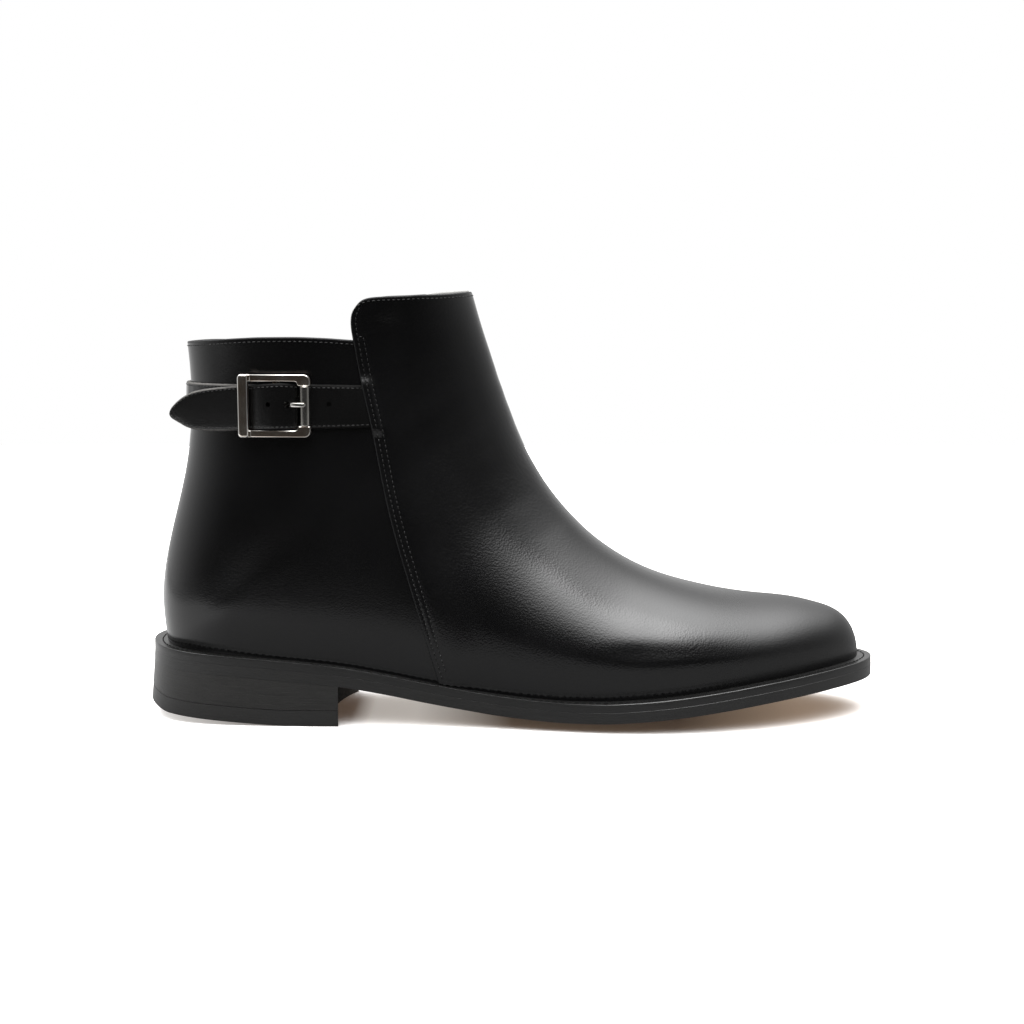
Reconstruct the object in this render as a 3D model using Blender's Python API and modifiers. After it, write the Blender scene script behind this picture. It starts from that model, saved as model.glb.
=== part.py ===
# Buckle ankle boot, right foot.  Blender script, metres.
# Frame: +X to the toe, +Z up, outer (lateral) side at -Y, floor at z = 0,
# origin under the middle of the outsole's box.  Tables below are in millimetres
# with x counted from the back of the outsole; out() moves them into the frame.
import math
import bpy
import bmesh
import numpy as np
from mathutils import Vector
from mathutils.bvhtree import BVHTree

# ---------------------------------------------------------------- sizes (mm)
MM = 0.001
SOLE_LENGTH = 300.0        # outsole, heel back to toe
GAP = 0.3                  # air between pieces that meet
WALL = 2.4                 # upper: leather, lining and stiffener together
WELT_T = 3.4               # welt and rand
OUTSOLE_T = 4.1            # outsole at its edge
INSOLE_RISE = 2.2          # footbed above the welt
TOP_PIECE_T = 6.2
HEEL_FLAT_X = 58.0         # heel tread is flat in front of this, rolls up behind
HEEL_ROLL = 4.0            # lift of the heel tread at the very back
BREAST_LAT = 80.5          # heel breast corners
BREAST_MED = 83.5
BREAST_HOLLOW = 6.0
STRAP_T = 1.8
STRAP_Z = 128.4            # middle of the strap at the seam
SEAM_X = 97.0              # strap ends tuck in here

# outsole edge in plan: x, outer half-width, inner half-width
SOLE_PLAN = (
    (0.0, -0.5, 0.5),
    (1.6, 11.0, 12.0),
    (5.6, 19.8, 20.6),
    (12.0, 26.4, 26.8),
    (21.0, 31.0, 31.0),
    (34.0, 33.8, 33.4),
    (50.0, 35.1, 33.6),
    (70.0, 36.0, 32.2),
    (92.0, 36.6, 29.6),
    (115.0, 37.6, 27.6),
    (138.0, 40.2, 29.2),
    (160.0, 44.4, 35.4),
    (180.0, 48.3, 43.2),
    (196.0, 50.1, 48.2),
    (211.0, 50.2, 50.2),
    (227.0, 48.4, 50.0),
    (243.0, 44.6, 47.4),
    (258.0, 39.2, 42.8),
    (271.0, 32.8, 36.8),
    (281.5, 25.8, 30.0),
    (289.5, 18.8, 23.2),
    (295.2, 12.0, 16.4),
    (298.6, 5.2, 9.6),
    (300.0, -2.2, 2.2),
)
# welt: x, height of its top face, ledge outside the upper
WELT_LINE = (
    (0.0, 30.4, 7.0),
    (12.0, 29.5, 6.0),
    (30.0, 28.2, 4.6),
    (56.0, 26.2, 3.8),
    (80.0, 23.9, 3.8),
    (100.0, 20.6, 3.6),
    (115.0, 17.7, 3.6),
    (130.0, 15.2, 3.8),
    (145.0, 13.2, 4.2),
    (160.0, 11.9, 4.8),
    (172.0, 11.4, 5.2),
    (185.0, 11.5, 5.6),
    (200.0, 12.4, 5.8),
    (215.0, 13.8, 5.8),
    (232.0, 15.8, 5.8),
    (256.0, 18.7, 5.8),
    (282.0, 21.3, 5.8),
    (300.0, 22.4, 5.8),
)
# tread under the middle of the outsole: x, height
TREAD_LINE = (
    (84.0, 14.6),
    (100.0, 10.6),
    (115.0, 7.0),
    (130.0, 4.0),
    (145.0, 1.6),
    (158.0, 0.3),
    (165.0, 0.0),
    (180.0, 0.0),
    (192.0, 0.0),
    (200.0, 0.5),
    (215.0, 2.2),
    (232.0, 4.7),
    (256.0, 8.6),
    (282.0, 12.2),
    (300.0, 14.6),
)
# upper: one row a section, toe to collar.  A section's plane stands on the foot
# point (low_x, low_z) and leans to the ridge point (top_x, top_z); low_z None
# means the foot point runs on the welt.  lat, med: half-width, for the rows in
# front of WIDE_ROW counted beyond the welt line, from there on from the middle;
# front: how far down from the ridge the section closes; peak: fullness there.
UPPER = (
    # low_x  low_z   top_x  top_z    lat    med  front   peak  ridge_y
    (294.1,  None,  294.1,  22.6,   0.0,   0.0,   0.3,  2.00,  2.2),
    (293.5,  None,  293.5,  28.4,   0.4,   0.4,   4.6,  2.00,  2.2),
    (292.2,  None,  292.2,  32.6,   0.6,   0.6,   7.0,  2.05,  2.2),
    (289.6,  None,  289.6,  37.0,   0.8,   0.8,  10.1,  2.10,  2.2),
    (285.0,  None,  285.0,  40.9,   1.0,   1.0,  13.3,  2.20,  2.4),
    (278.0,  None,  278.0,  43.5,   1.1,   1.1,  15.5,  2.25,  2.7),
    (268.0,  None,  268.0,  45.7,   1.2,   1.2,  17.6,  2.25,  3.1),
    (255.0,  None,  255.0,  47.0,   1.3,   1.3,  19.4,  2.20,  3.5),
    (240.0,  None,  240.0,  48.5,   1.4,   1.4,  21.8,  2.10,  4.0),
    (225.0,  None,  225.0,  51.6,  44.3,  45.8,  25.8,  2.00,  4.4),
    (210.0,  None,  210.5,  56.2,  45.9,  46.0,  31.4,  1.90,  4.6),
    (195.0,  None,  197.0,  62.6,  45.8,  44.3,  38.0,  1.80,  4.6),
    (180.0,  None,  184.5,  71.2,  44.5,  41.0,  45.0,  1.73,  4.4),
    (163.0,  None,  175.0,  80.2,  42.2,  37.5,  51.5,  1.72,  4.0),
    (143.0,  None,  167.5,  89.0,  39.4,  35.0,  58.0,  1.78,  3.5),
    (120.0,  None,  161.4,  97.9,  37.2,  33.9,  66.0,  1.92,  3.0),
    ( 95.0,  None,  156.6, 106.4,  35.8,  33.6,  76.0,  2.12,  2.5),
    ( 68.0,  None,  152.5, 115.5,  34.9,  33.5,  88.0,  2.42,  2.0),
    ( 42.0,  None,  149.3, 123.8,  34.2,  33.3, 100.0,  2.70,  1.7),
    ( 22.0,  None,  147.2, 129.5,  33.7,  33.0, 108.0,  2.90,  1.5),
    ( 11.0,  None,  146.0, 133.0,  33.4,  32.7, 111.5,  3.00,  1.3),
    (  7.0,  31.0,  144.9, 136.0,  33.2,  32.5, 112.0,  3.02,  1.2),
    (  5.5,  48.0,  143.2, 141.2,  33.0,  32.3, 110.0,  3.00,  1.0),
    (  7.2,  64.0,  141.4, 146.8,  32.6,  32.0, 105.0,  2.90,  0.9),
    ( 11.3,  82.0,  139.3, 153.2,  32.2,  31.7,  96.0,  2.76,  0.8),
    ( 15.6, 100.0,  137.4, 159.2,  32.0,  31.6,  86.0,  2.62,  0.7),
    ( 18.1, 118.0,  135.7, 165.0,  32.4,  32.0,  77.0,  2.52,  0.6),
    ( 18.5, 136.0,  134.3, 170.0,  33.2,  32.8,  70.5,  2.45,  0.5),
    ( 17.3, 152.5,  133.0, 174.5,  34.1,  33.7,  66.5,  2.40,  0.5),
    ( 16.2, 162.0,  131.5, 180.0,  34.6,  34.2,  65.0,  2.40,  0.5),
)
# where the upper tucks in to the welt: x, height over which it does
TUCK = (
    (0.0, 22.0), (22.0, 23.0), (42.0, 25.0), (68.0, 27.0), (95.0, 27.0), (120.0, 25.0), (143.0, 22.0),
    (163.0, 18.0), (180.0, 15.0), (210.0, 12.5), (240.0, 11.0), (268.0, 9.0), (285.0, 7.0), (292.0, 4.6), (300.0, 2.6),
)
# how far from the back seam the heel and ankle take to reach full width: z, run
BACK_RUN = (
    (25.0, 31.0), (45.0, 33.0), (65.0, 36.5), (85.0, 41.0), (105.0, 45.5), (125.0, 48.5), (150.0, 50.0), (170.0, 50.0),
)
BACK_FULL = 2.3
TUCK_EASE = 2.4
HEEL_ROW = 21              # row where the foot point turns up the back seam
WIDE_ROW = 9               # from this row on widths are carried as whole widths
BACK_Y = 0.5               # back seam
UPPER_HALF = 15            # columns in half a section

# collar line from back to front: x, z (flat back, step at the seam, front)
COLLAR = (
    (-20.0, 152.6), (17.0, 152.8), (40.0, 154.0), (60.0, 154.6), (87.2, 154.2),
    (87.2, 162.4), (87.9, 165.3), (89.6, 167.8), (92.3, 169.6), (96.0, 170.2),
    (104.0, 170.5), (114.0, 171.0), (126.0, 171.7), (135.0, 172.7), (180.0, 177.0),
)

# strap: way back from its outer end (mm along the ankle), rise of its middle
# above the leather, drop of its middle line, half-width
STRAP_RISE = ((14.3, 1.25), (11.6, 1.35), (9.0, 2.85), (6.6, 4.45), (3.0, 5.45),
              (0.0, 5.70), (-4.0, 5.25), (-8.0, 4.15), (-12.3, 3.35), (-16.0, 3.30))
STRAP_TIP = ((-16.0, -0.6, 8.6), (-22.0, -1.1, 8.3), (-28.0, -1.6, 7.8),
             (-34.0, -2.0, 7.0), (-38.0, -2.3, 5.8), (-41.0, -2.6, 4.2),
             (-43.0, -2.8, 2.6), (-44.2, -2.9, 0.9))
# buckle in its own plane: u forward, v up, n out of the leather
BUCKLE_X = 57.3
BUCKLE_U = 14.3
BUCKLE_V = 12.5
ARM_W = 2.9
ARM_N = (3.4, 5.6)
KEEPER_W = 4.1
KEEPER_N = (4.75, 7.0)
BLOCK_U = 5.0
BLOCK_V = 7.9
PIVOT_R = 0.9
PIVOT_N = 3.6
ROD_R = 1.1
ROLLER_R = 2.0
ROLLER_U = 11.7
ROLLER_N = 4.5
PRONG_R = 0.8
HOLES_U = (-2.1, 20.6)
HOLE_R = 1.0


# ------------------------------------------------------------------ clean up
for old in list(bpy.data.objects):
    bpy.data.objects.remove(old, do_unlink=True)
scene = bpy.context.scene
cut_box = bpy.data.collections.new("cutters")
scene.collection.children.link(cut_box)


# ------------------------------------------------------------------ functions
def spline(ts, ys):
    """Natural cubic through (ts, ys); returns a function of t."""
    t = np.asarray(ts, float)
    y = np.asarray(ys, float)
    n = len(t)
    h = np.diff(t)
    A = np.eye(n)
    B = np.zeros(y.shape)
    for i in range(1, n - 1):
        A[i, i - 1] = h[i - 1]
        A[i, i] = 2 * (h[i - 1] + h[i])
        A[i, i + 1] = h[i]
        B[i] = 6 * ((y[i + 1] - y[i]) / h[i] - (y[i] - y[i - 1]) / h[i - 1])
    m = np.linalg.solve(A, B)

    def at(q):
        q = np.asarray(q, float)
        k = np.clip(np.searchsorted(t, q, side="right") - 1, 0, n - 2)
        a = (t[k + 1] - q) / h[k]
        b = (q - t[k]) / h[k]
        hk = h[k]
        if y.ndim == 2:
            a, b, hk = a[..., None], b[..., None], hk[..., None]
        return a * y[k] + b * y[k + 1] + ((a ** 3 - a) * m[k] + (b ** 3 - b) * m[k + 1]) * hk ** 2 / 6
    return at


def monotone(rows, col):
    """Shape-keeping cubic of column col over column 0."""
    x = np.array([r[0] for r in rows], float)
    y = np.array([r[col] for r in rows], float)
    h = np.diff(x)
    d = np.diff(y) / h
    m = np.zeros(len(x))
    m[0], m[-1] = d[0], d[-1]
    for i in range(1, len(x) - 1):
        if d[i - 1] * d[i] > 0:
            w1, w2 = 2 * h[i] + h[i - 1], h[i] + 2 * h[i - 1]
            m[i] = (w1 + w2) / (w1 / d[i - 1] + w2 / d[i])

    def at(q):
        q = np.clip(np.asarray(q, float), x[0], x[-1])
        k = np.clip(np.searchsorted(x, q, side="right") - 1, 0, len(x) - 2)
        s = (q - x[k]) / h[k]
        return ((1 + 2 * s) * (1 - s) ** 2 * y[k] + s * (1 - s) ** 2 * h[k] * m[k]
                + s * s * (3 - 2 * s) * y[k + 1] + s * s * (s - 1) * h[k] * m[k + 1])
    return at


welt_top = monotone(WELT_LINE, 1)
ledge = monotone(WELT_LINE, 2)
tread_mid = monotone(TREAD_LINE, 1)


def closed_plan(n):
    """Outsole edge as n points, from the heel back along the outer side."""
    lat = [(r[0], -r[1]) for r in SOLE_PLAN]
    med = [(r[0], r[2]) for r in SOLE_PLAN[1:-1]][::-1]
    ring = np.array(lat + med, float)
    k = len(ring)
    pad = 6
    pts = np.vstack([ring[-pad:], ring, ring[:pad + 1]])
    d = np.r_[0, np.cumsum(np.linalg.norm(np.diff(pts, axis=0), axis=1))]
    f = spline(d, pts)
    dense = f(np.linspace(d[pad], d[pad + k], 4000, endpoint=False))
    loop = np.vstack([dense, dense[:1]])
    s = np.r_[0, np.cumsum(np.linalg.norm(np.diff(loop, axis=0), axis=1))]
    q = np.linspace(0, s[-1], n, endpoint=False)
    return np.column_stack([np.interp(q, s, loop[:, 0]), np.interp(q, s, loop[:, 1])])


def inset(plan, by):
    """Plan points moved inwards along their own normals."""
    t = np.roll(plan, -1, axis=0) - np.roll(plan, 1, axis=0)
    t /= np.linalg.norm(t, axis=1)[:, None]
    normal = np.column_stack([-t[:, 1], t[:, 0]])
    return plan + normal * np.asarray(by, float).reshape(-1, 1)


PLAN = closed_plan(3000)
FEATHER = inset(PLAN, ledge(PLAN[:, 0]))
i0, i1 = int(np.argmin(FEATHER[:, 0])), int(np.argmax(FEATHER[:, 0]))
ring = np.roll(FEATHER, -i0, axis=0)
cutk = (i1 - i0) % len(FEATHER)
FE_LAT = ring[:cutk + 1]
FE_MED = np.vstack([ring[cutk:], ring[:1]])[::-1]
FE_X0, FE_X1 = FE_LAT[0, 0], FE_LAT[-1, 0]


def feather(x):
    """Outer and inner y of the line where the upper meets the welt."""
    x = np.clip(x, FE_X0, FE_X1)
    return np.interp(x, FE_LAT[:, 0], FE_LAT[:, 1]), np.interp(x, FE_MED[:, 0], FE_MED[:, 1])


# ---- the upper as a function of (station, way round the section)
ROWS = np.array([[np.nan if v is None else v for v in r] for r in UPPER], float)
ROWS[0, 0] = ROWS[0, 2] = FE_X1
ROWS[0, 3] = welt_top(FE_X1) + GAP
ROWS[HEEL_ROW, 0] = FE_X0
open_z = np.isnan(ROWS[:, 1])
ROWS[open_z, 1] = welt_top(ROWS[open_z, 0]) + GAP
ROWS[HEEL_ROW, 1] = welt_top(FE_X0) + GAP
step = 0.5 * (np.linalg.norm(np.diff(ROWS[:, 0:2], axis=0), axis=1)
              + np.linalg.norm(np.diff(ROWS[:, 2:4], axis=0), axis=1))
S_ROW = np.r_[0, np.cumsum(step)]
S_HEEL = S_ROW[HEEL_ROW]
S_WIDE = S_ROW[WIDE_ROW]
low_open = monotone(list(zip(S_ROW[:HEEL_ROW + 1], ROWS[:HEEL_ROW + 1, 0])), 1)
low_shut = spline(S_ROW[HEEL_ROW:], ROWS[HEEL_ROW:, 0:2])
top_of = spline(S_ROW, ROWS[:, 2:4])
rest_of = spline(S_ROW, ROWS[:, 6:9])
over = ROWS[:, 4:6].copy()
whole = ROWS[:, 4:6].copy()
for k in range(WIDE_ROW + 4):
    a, b = feather(ROWS[k, 0])
    if k < WIDE_ROW:
        whole[k] += (-a, b)
    else:
        over[k] -= (-a, b)
out_of = spline(S_ROW[:WIDE_ROW + 4], over[:WIDE_ROW + 4])
wide_of = spline(S_ROW[WIDE_ROW - 3:], whole[WIDE_ROW - 3:])
tuck_h = monotone(TUCK, 1)
back_run = monotone(BACK_RUN, 1)
back_x = spline(ROWS[HEEL_ROW:, 1], ROWS[HEEL_ROW:, 0])


def widths(s, lx):
    """Full half-widths (outer y, inner y) of the section at s."""
    if s < S_WIDE:
        yl, ym = feather(lx)
        o = out_of(s)
        return yl - max(o[0], 0.0), ym + max(o[1], 0.0)
    w = wide_of(s)
    return -w[0], w[1]


def heel_close(x, z):
    """0 on the back seam, 1 where the heel and ankle have their full width."""
    d = x - back_x(np.maximum(z, ROWS[HEEL_ROW, 1]))
    a = np.clip(1 - d / back_run(z), 0, 1)
    return (1 - a ** BACK_FULL) ** 0.5


tuck_rows = []
for s_ in np.linspace(1e-6, S_HEEL - 1e-6, 1500):
    x_ = min(max(float(low_open(s_)), FE_X0), FE_X1)
    c_ = float(heel_close(x_, welt_top(x_) + GAP))
    f_ = feather(x_)
    w_ = widths(s_, x_)
    tuck_rows.append((x_, f_[0] - (BACK_Y + (w_[0] - BACK_Y) * c_), (BACK_Y + (w_[1] - BACK_Y) * c_) - f_[1]))
tuck_rows = np.array(tuck_rows)[::-1]


def section(s, half):
    """Points of the section at s, outer foot over the ridge to the inner foot."""
    top = top_of(s)
    front, peak, ridge = rest_of(s)
    if s < S_HEEL:
        lx = min(max(float(low_open(s)), FE_X0), FE_X1)
        lz = float(welt_top(lx)) + GAP
    else:
        lx, lz = low_shut(s)
    low = np.array([lx, lz])
    span = top - low
    tall = max(float(np.linalg.norm(span)), 1e-6)
    front = min(max(float(front), 0.02 * tall), 0.98 * tall)
    k = min(max((s - S_WIDE) / (S_ROW[HEEL_ROW + 4] - S_WIDE), 0.0), 1.0)
    share = 0.20 + 0.25 * k * k * (3 - 2 * k)      # columns below the widest place
    u = np.linspace(0, 1, half + 1)
    q = np.where(u < share, (tall - front) * (1 - np.cos(np.clip(u / share, 0, 1) * math.pi / 2)),
                 tall - front * (1 - np.sin(np.clip((u - share) / (1 - share), 0, 1) * math.pi / 2)))
    x, z = low[0] + span[0] * q / tall, low[1] + span[1] * q / tall
    t = np.clip((q - tall + front) / front, 0, 1)
    shape = np.clip(1 - t ** peak, 0, 1) ** 0.5
    back = heel_close(x, z)
    tuck = np.clip(1 - (z - welt_top(x) - GAP) / tuck_h(x), 0, 1) ** TUCK_EASE
    rows = []
    for k, wide in enumerate(widths(s, lx)):
        y = ridge * (1 - shape) + BACK_Y * shape + (wide - BACK_Y) * shape * back
        y = y + (1, -1)[k] * np.interp(x, tuck_rows[:, 0], tuck_rows[:, 1 + k]) * tuck
        rows.append(np.column_stack([x, y, z]))
    return np.vstack([rows[0], rows[1][::-1][1:]])


def out(p):
    return Vector(((p[0] - SOLE_LENGTH / 2) * MM, p[1] * MM, p[2] * MM))


def loft_upper(stations, half):
    """Outer face of the upper: vertices and faces, normals out."""
    verts, faces, prev = [], [], None
    for s in stations:
        if s <= 0:
            verts.append(section(1e-9, half)[half])
            idx = [0] * (2 * half + 1)
        else:
            pts = section(s, half)
            base = len(verts)
            shut = s >= S_HEEL - 1e-6
            if shut:
                pts[0] = pts[-1] = 0.5 * (pts[0] + pts[-1])
            verts.extend(pts[:-1] if shut else pts)
            idx = list(range(base, base + 2 * half + 1))
            if shut:
                idx[-1] = base
        if prev is not None:
            for j in range(2 * half):
                loop = []
                for v in (prev[j], prev[j + 1], idx[j + 1], idx[j]):
                    if v not in loop:
                        loop.append(v)
                if len(loop) >= 3:
                    faces.append(loop)
        prev = idx
    return np.array(verts), faces


def material(name, colour, rough, metal=0.0):
    m = bpy.data.materials.new(name)
    m.use_nodes = True
    b = m.node_tree.nodes["Principled BSDF"]
    b.inputs["Base Color"].default_value = (*colour, 1.0)
    b.inputs["Roughness"].default_value = rough
    b.inputs["Metallic"].default_value = metal
    m.diffuse_color = (*colour, 1.0)
    return m


LEATHER = material("black_leather", (0.020, 0.019, 0.019), 0.4)
STRAPS = material("strap_leather", (0.022, 0.021, 0.021), 0.4)
EDGE = material("black_edge", (0.035, 0.030, 0.028), 0.5)
WELTM = material("welt_black", (0.030, 0.028, 0.027), 0.5)
STACK = material("stacked_leather", (0.060, 0.048, 0.040), 0.5)
TREADM = material("top_piece_rubber", (0.018, 0.018, 0.018), 0.7)
FOOTBED = material("footbed", (0.45, 0.30, 0.18), 0.7)
METAL = material("nickel", (0.55, 0.53, 0.50), 0.2, 1.0)
METAL2 = material("nickel_roller", (0.60, 0.58, 0.55), 0.2, 1.0)
METAL3 = material("nickel_prong", (0.65, 0.63, 0.60), 0.2, 1.0)


def make(name, verts, faces, mat, fix=True):
    me = bpy.data.meshes.new(name)
    me.from_pydata([tuple(out(v)) for v in verts], [], [list(f) for f in faces])
    if fix:
        bm = bmesh.new()
        bm.from_mesh(me)
        bmesh.ops.recalc_face_normals(bm, faces=bm.faces)
        bm.to_mesh(me)
        bm.free()
    me.materials.append(mat)
    ob = bpy.data.objects.new(name, me)
    scene.collection.objects.link(ob)
    return ob


def cutter(ob):
    for c in list(ob.users_collection):
        c.objects.unlink(ob)
    cut_box.objects.link(ob)
    ob.hide_render = True
    ob.display_type = "WIRE"
    return ob


def boolean(ob, other, kind):
    m = ob.modifiers.new(kind.lower(), "BOOLEAN")
    m.operation = kind
    m.solver = "EXACT"
    m.object = other


# -------------------------------------------------------------------- upper
mids = []
for k, (a, b) in enumerate(zip(S_ROW[:-1], S_ROW[1:])):
    mids.append(a)
    if k == HEEL_ROW - 1:      # the welt line turns round the heel here
        mids += [a + (b - a) * f for f in (0.45, 0.8)]
    elif b - a > 9.5:
        mids.append(0.5 * (a + b))
mids.append(S_ROW[-1])
verts, faces = loft_upper(mids, UPPER_HALF)


def shell(verts, faces, wall):
    """Give an open surface a wall on its inner side; its foot stays on the welt."""
    n = np.zeros_like(verts)
    for f in faces:
        p = verts[f]
        c = np.zeros(3)
        for i in range(1, len(f) - 1):
            c += np.cross(p[i] - p[0], p[i + 1] - p[0])
        n[f] += c
    n /= np.linalg.norm(n, axis=1)[:, None]
    back = int(np.argmin(verts[:, 0]))
    if n[back, 0] > 0:
        n = -n
    edges = {}
    for f in faces:
        for a, b in zip(f, f[1:] + f[:1]):
            edges[(a, b)] = edges.get((a, b), 0) + 1
    rim = [e for e in edges if (e[1], e[0]) not in edges]
    inner = verts - n * wall
    for a, b in rim:
        for k in (a, b):
            if verts[k, 2] < 60.0:             # foot edge: straight in from the outer edge
                flat = n[k] * (1.0, 1.0, 0.0)
                inner[k] = verts[k] - flat / np.linalg.norm(flat) * wall
                inner[k, 2] = welt_top(inner[k, 0]) + GAP
    low = welt_top(inner[:, 0]) + GAP
    inner[:, 2] = np.maximum(inner[:, 2], low)
    m = len(verts)
    fs = [list(f) for f in faces] + [[v + m for v in f][::-1] for f in faces]
    fs += [[b, a, a + m, b + m] for a, b in rim]
    return np.vstack([verts, inner]), fs


upper = make("upper", *shell(verts, faces, WALL), LEATHER)


def prism(name, outline, y0, y1):
    """Side-view outline (x, z) drawn out along y."""
    n = len(outline)
    vs = [(x, y0, z) for x, z in outline] + [(x, y1, z) for x, z in outline]
    fs = [list(range(n)), list(range(n, 2 * n))[::-1]]
    fs += [[i, i + n, (i + 1) % n + n, (i + 1) % n] for i in range(n)]
    return cutter(make(name, vs, fs, LEATHER))


collar_cut = prism("collar_cut", list(COLLAR) + [(180.0, 260.0), (-20.0, 260.0)], -90.0, 90.0)
boolean(upper, collar_cut, "DIFFERENCE")


# ------------------------------------------------------- sole, welt, insole
def strip_ring(name, plan_out, plan_in, z_top, z_low, mat):
    """Closed strip between two plan loops."""
    n = len(plan_out)
    vs, fs = [], []
    for i in range(n):
        for p, z in ((plan_out[i], z_top), (plan_out[i], z_low), (plan_in[i], z_low), (plan_in[i], z_top)):
            vs.append((p[0], p[1], float(z(p[0]))))
    for i in range(n):
        j = (i + 1) % n
        for k in range(4):
            m = (k + 1) % 4
            fs.append([4 * i + k, 4 * i + m, 4 * j + m, 4 * j + k])
    return make(name, vs, fs, mat)


RIM = closed_plan(108)
strip_ring("welt", RIM, inset(RIM, ledge(RIM[:, 0]) + WALL + 0.2),
           lambda x: welt_top(x), lambda x: welt_top(x) - WELT_T, WELTM)


def branches(plan):
    """Outer and inner y of a closed plan loop as functions of x."""
    a, b = int(np.argmin(plan[:, 0])), int(np.argmax(plan[:, 0]))
    r = np.roll(plan, -a, axis=0)
    k = (b - a) % len(plan)
    la, me = r[:k + 1], np.vstack([r[k:], r[:1]])[::-1]
    return (lambda x: np.interp(x, la[:, 0], la[:, 1]), lambda x: np.interp(x, me[:, 0], me[:, 1]),
            la[0, 0], la[-1, 0])


def plate(name, plan, z_top, z_low, mat, n_long, n_wide, x_max=None, x_end=None):
    """Solid between two height functions z(x, t) inside a plan loop; t runs -1..1 across."""
    fl, fm, x0, x1 = branches(plan)
    stop = x1 if x_max is None else x_max
    ang = np.linspace(0, math.pi if x_max is None else math.pi * 0.62, n_long + 1)
    g = (1 - np.cos(ang)) / (1 - np.cos(ang[-1]))
    g = 0.55 * g + 0.45 * np.linspace(0, 1, n_long + 1)
    xs = x0 + (stop - x0) * g
    vs, fs, rings = [], [], []
    ts = np.sin(np.linspace(-math.pi / 2, math.pi / 2, n_wide + 1))
    for i, x in enumerate(xs):
        pole = i == 0 or (i == n_long and x_max is None)
        if pole:
            y = float(fl(x))
            k = len(vs)
            vs += [(x, y, float(z_top(x, 0.0))), (x, y, float(z_low(x, 1.0)))]
            rings.append(([k] * (n_wide + 1), [k + 1] * (n_wide + 1)))
            continue
        up, dn = [], []
        for t in ts:
            xx = x if x_end is None else x + (x_end(t) - stop) * ((x - x0) / (stop - x0)) ** 3
            yl, ym = float(fl(xx)), float(fm(xx))
            y = 0.5 * (yl + ym) + 0.5 * (ym - yl) * t
            up.append(len(vs))
            vs.append((xx, y, float(z_top(xx, t))))
            dn.append(len(vs))
            vs.append((xx, y, float(z_low(xx, t))))
        rings.append((up, dn))

    def quad(a, b, c, d):
        loop = []
        for v in (a, b, c, d):
            if v not in loop:
                loop.append(v)
        if len(loop) > 2:
            fs.append(loop)
    for (u0, d0), (u1, d1) in zip(rings[:-1], rings[1:]):
        for j in range(n_wide):
            quad(u0[j], u0[j + 1], u1[j + 1], u1[j])
            quad(d0[j], d1[j], d1[j + 1], d0[j + 1])
        quad(u0[0], u1[0], d1[0], d0[0])
        quad(u0[-1], d0[-1], d1[-1], u1[-1])
    if x_max is not None:
        u, d = rings[-1]
        for j in range(n_wide):
            quad(u[j], u[j + 1], d[j + 1], d[j])
    return make(name, vs, fs, mat)


def sole_edge(x):
    return welt_top(x) - WELT_T - GAP - OUTSOLE_T


def crown(t):
    """1 over the flat middle, easing to 0 at the edge."""
    a = np.clip((abs(t) - 0.5) / 0.5, 0, 1)
    return 1 - a * a * (3 - 2 * a)


def sole_low(x, t):
    edge = sole_edge(x)
    if x < 84.0:
        return edge
    ease = min((x - 84.0) / 40.0, 1.0)
    return edge + (min(float(tread_mid(x)), edge) - edge) * crown(t) * ease


plate("outsole", PLAN, lambda x, t: welt_top(x) - WELT_T - GAP, sole_low, EDGE, 46, 10)

foot = inset(PLAN, ledge(PLAN[:, 0]) + WALL + 1.7)
plate("insole", foot, lambda x, t: welt_top(x) + INSOLE_RISE, lambda x, t: welt_top(x) - WELT_T, FOOTBED, 36, 6)


def heel_tread(x):
    a = np.clip((HEEL_FLAT_X - x) / HEEL_FLAT_X, 0, 1)
    return HEEL_ROLL * a ** 1.15


def breast(t):
    line = BREAST_LAT + (BREAST_MED - BREAST_LAT) * 0.5 * (t + 1)
    return line - BREAST_HOLLOW * (1 - t * t)


HEEL_PLAN = inset(PLAN, np.full(len(PLAN), 0.25))
plate("heel", HEEL_PLAN, lambda x, t: sole_edge(x) - GAP, lambda x, t: heel_tread(x) + TOP_PIECE_T + GAP,
      STACK, 20, 10, 82.0, breast)
plate("top_piece", HEEL_PLAN, lambda x, t: heel_tread(x) + TOP_PIECE_T, lambda x, t: heel_tread(x),
      TREADM, 20, 10, 82.0, breast)


# ------------------------------------------------------------ ankle straps
dense_v, dense_f = loft_upper(np.linspace(S_ROW[15], S_ROW[-1], 90), 60)
TREE = BVHTree.FromPolygons([Vector(v) for v in dense_v], dense_f)
ANKLE_X = 66.0


def ankle(theta, z):
    """Point on the upper seen from the ankle's middle; theta 0 is the back, + on the outer side."""
    d = Vector((-math.cos(theta), -math.sin(theta), 0.0))
    o = Vector((ANKLE_X, BACK_Y, z))
    hit = TREE.ray_cast(o + d * 200.0, -d)
    return hit[0]


thetas = np.linspace(math.radians(-135), math.radians(135), 541)
girth = np.array([tuple(ankle(t, STRAP_Z))[:2] for t in thetas])
for _ in range(3):
    girth[1:-1] = 0.25 * girth[:-2] + 0.5 * girth[1:-1] + 0.25 * girth[2:]
arc = np.r_[0, np.cumsum(np.linalg.norm(np.diff(girth, axis=0), axis=1))]
tang = np.gradient(girth, arc, axis=0)
tang /= np.linalg.norm(tang, axis=1)[:, None]
norm = np.column_stack([tang[:, 1], -tang[:, 0]])
mid = np.array([ANKLE_X, BACK_Y])
norm *= np.sign(np.sum(norm * (girth - mid), axis=1))[:, None]
LEAN_H = 8.7
lean_lo = np.sum((np.array([tuple(ankle(t, STRAP_Z - LEAN_H))[:2] for t in thetas]) - girth) * norm, axis=1)
lean_hi = np.sum((np.array([tuple(ankle(t, STRAP_Z + LEAN_H))[:2] for t in thetas]) - girth) * norm, axis=1)
ease_off = np.maximum(0.0, -0.5 * (lean_lo + lean_hi))
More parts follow.
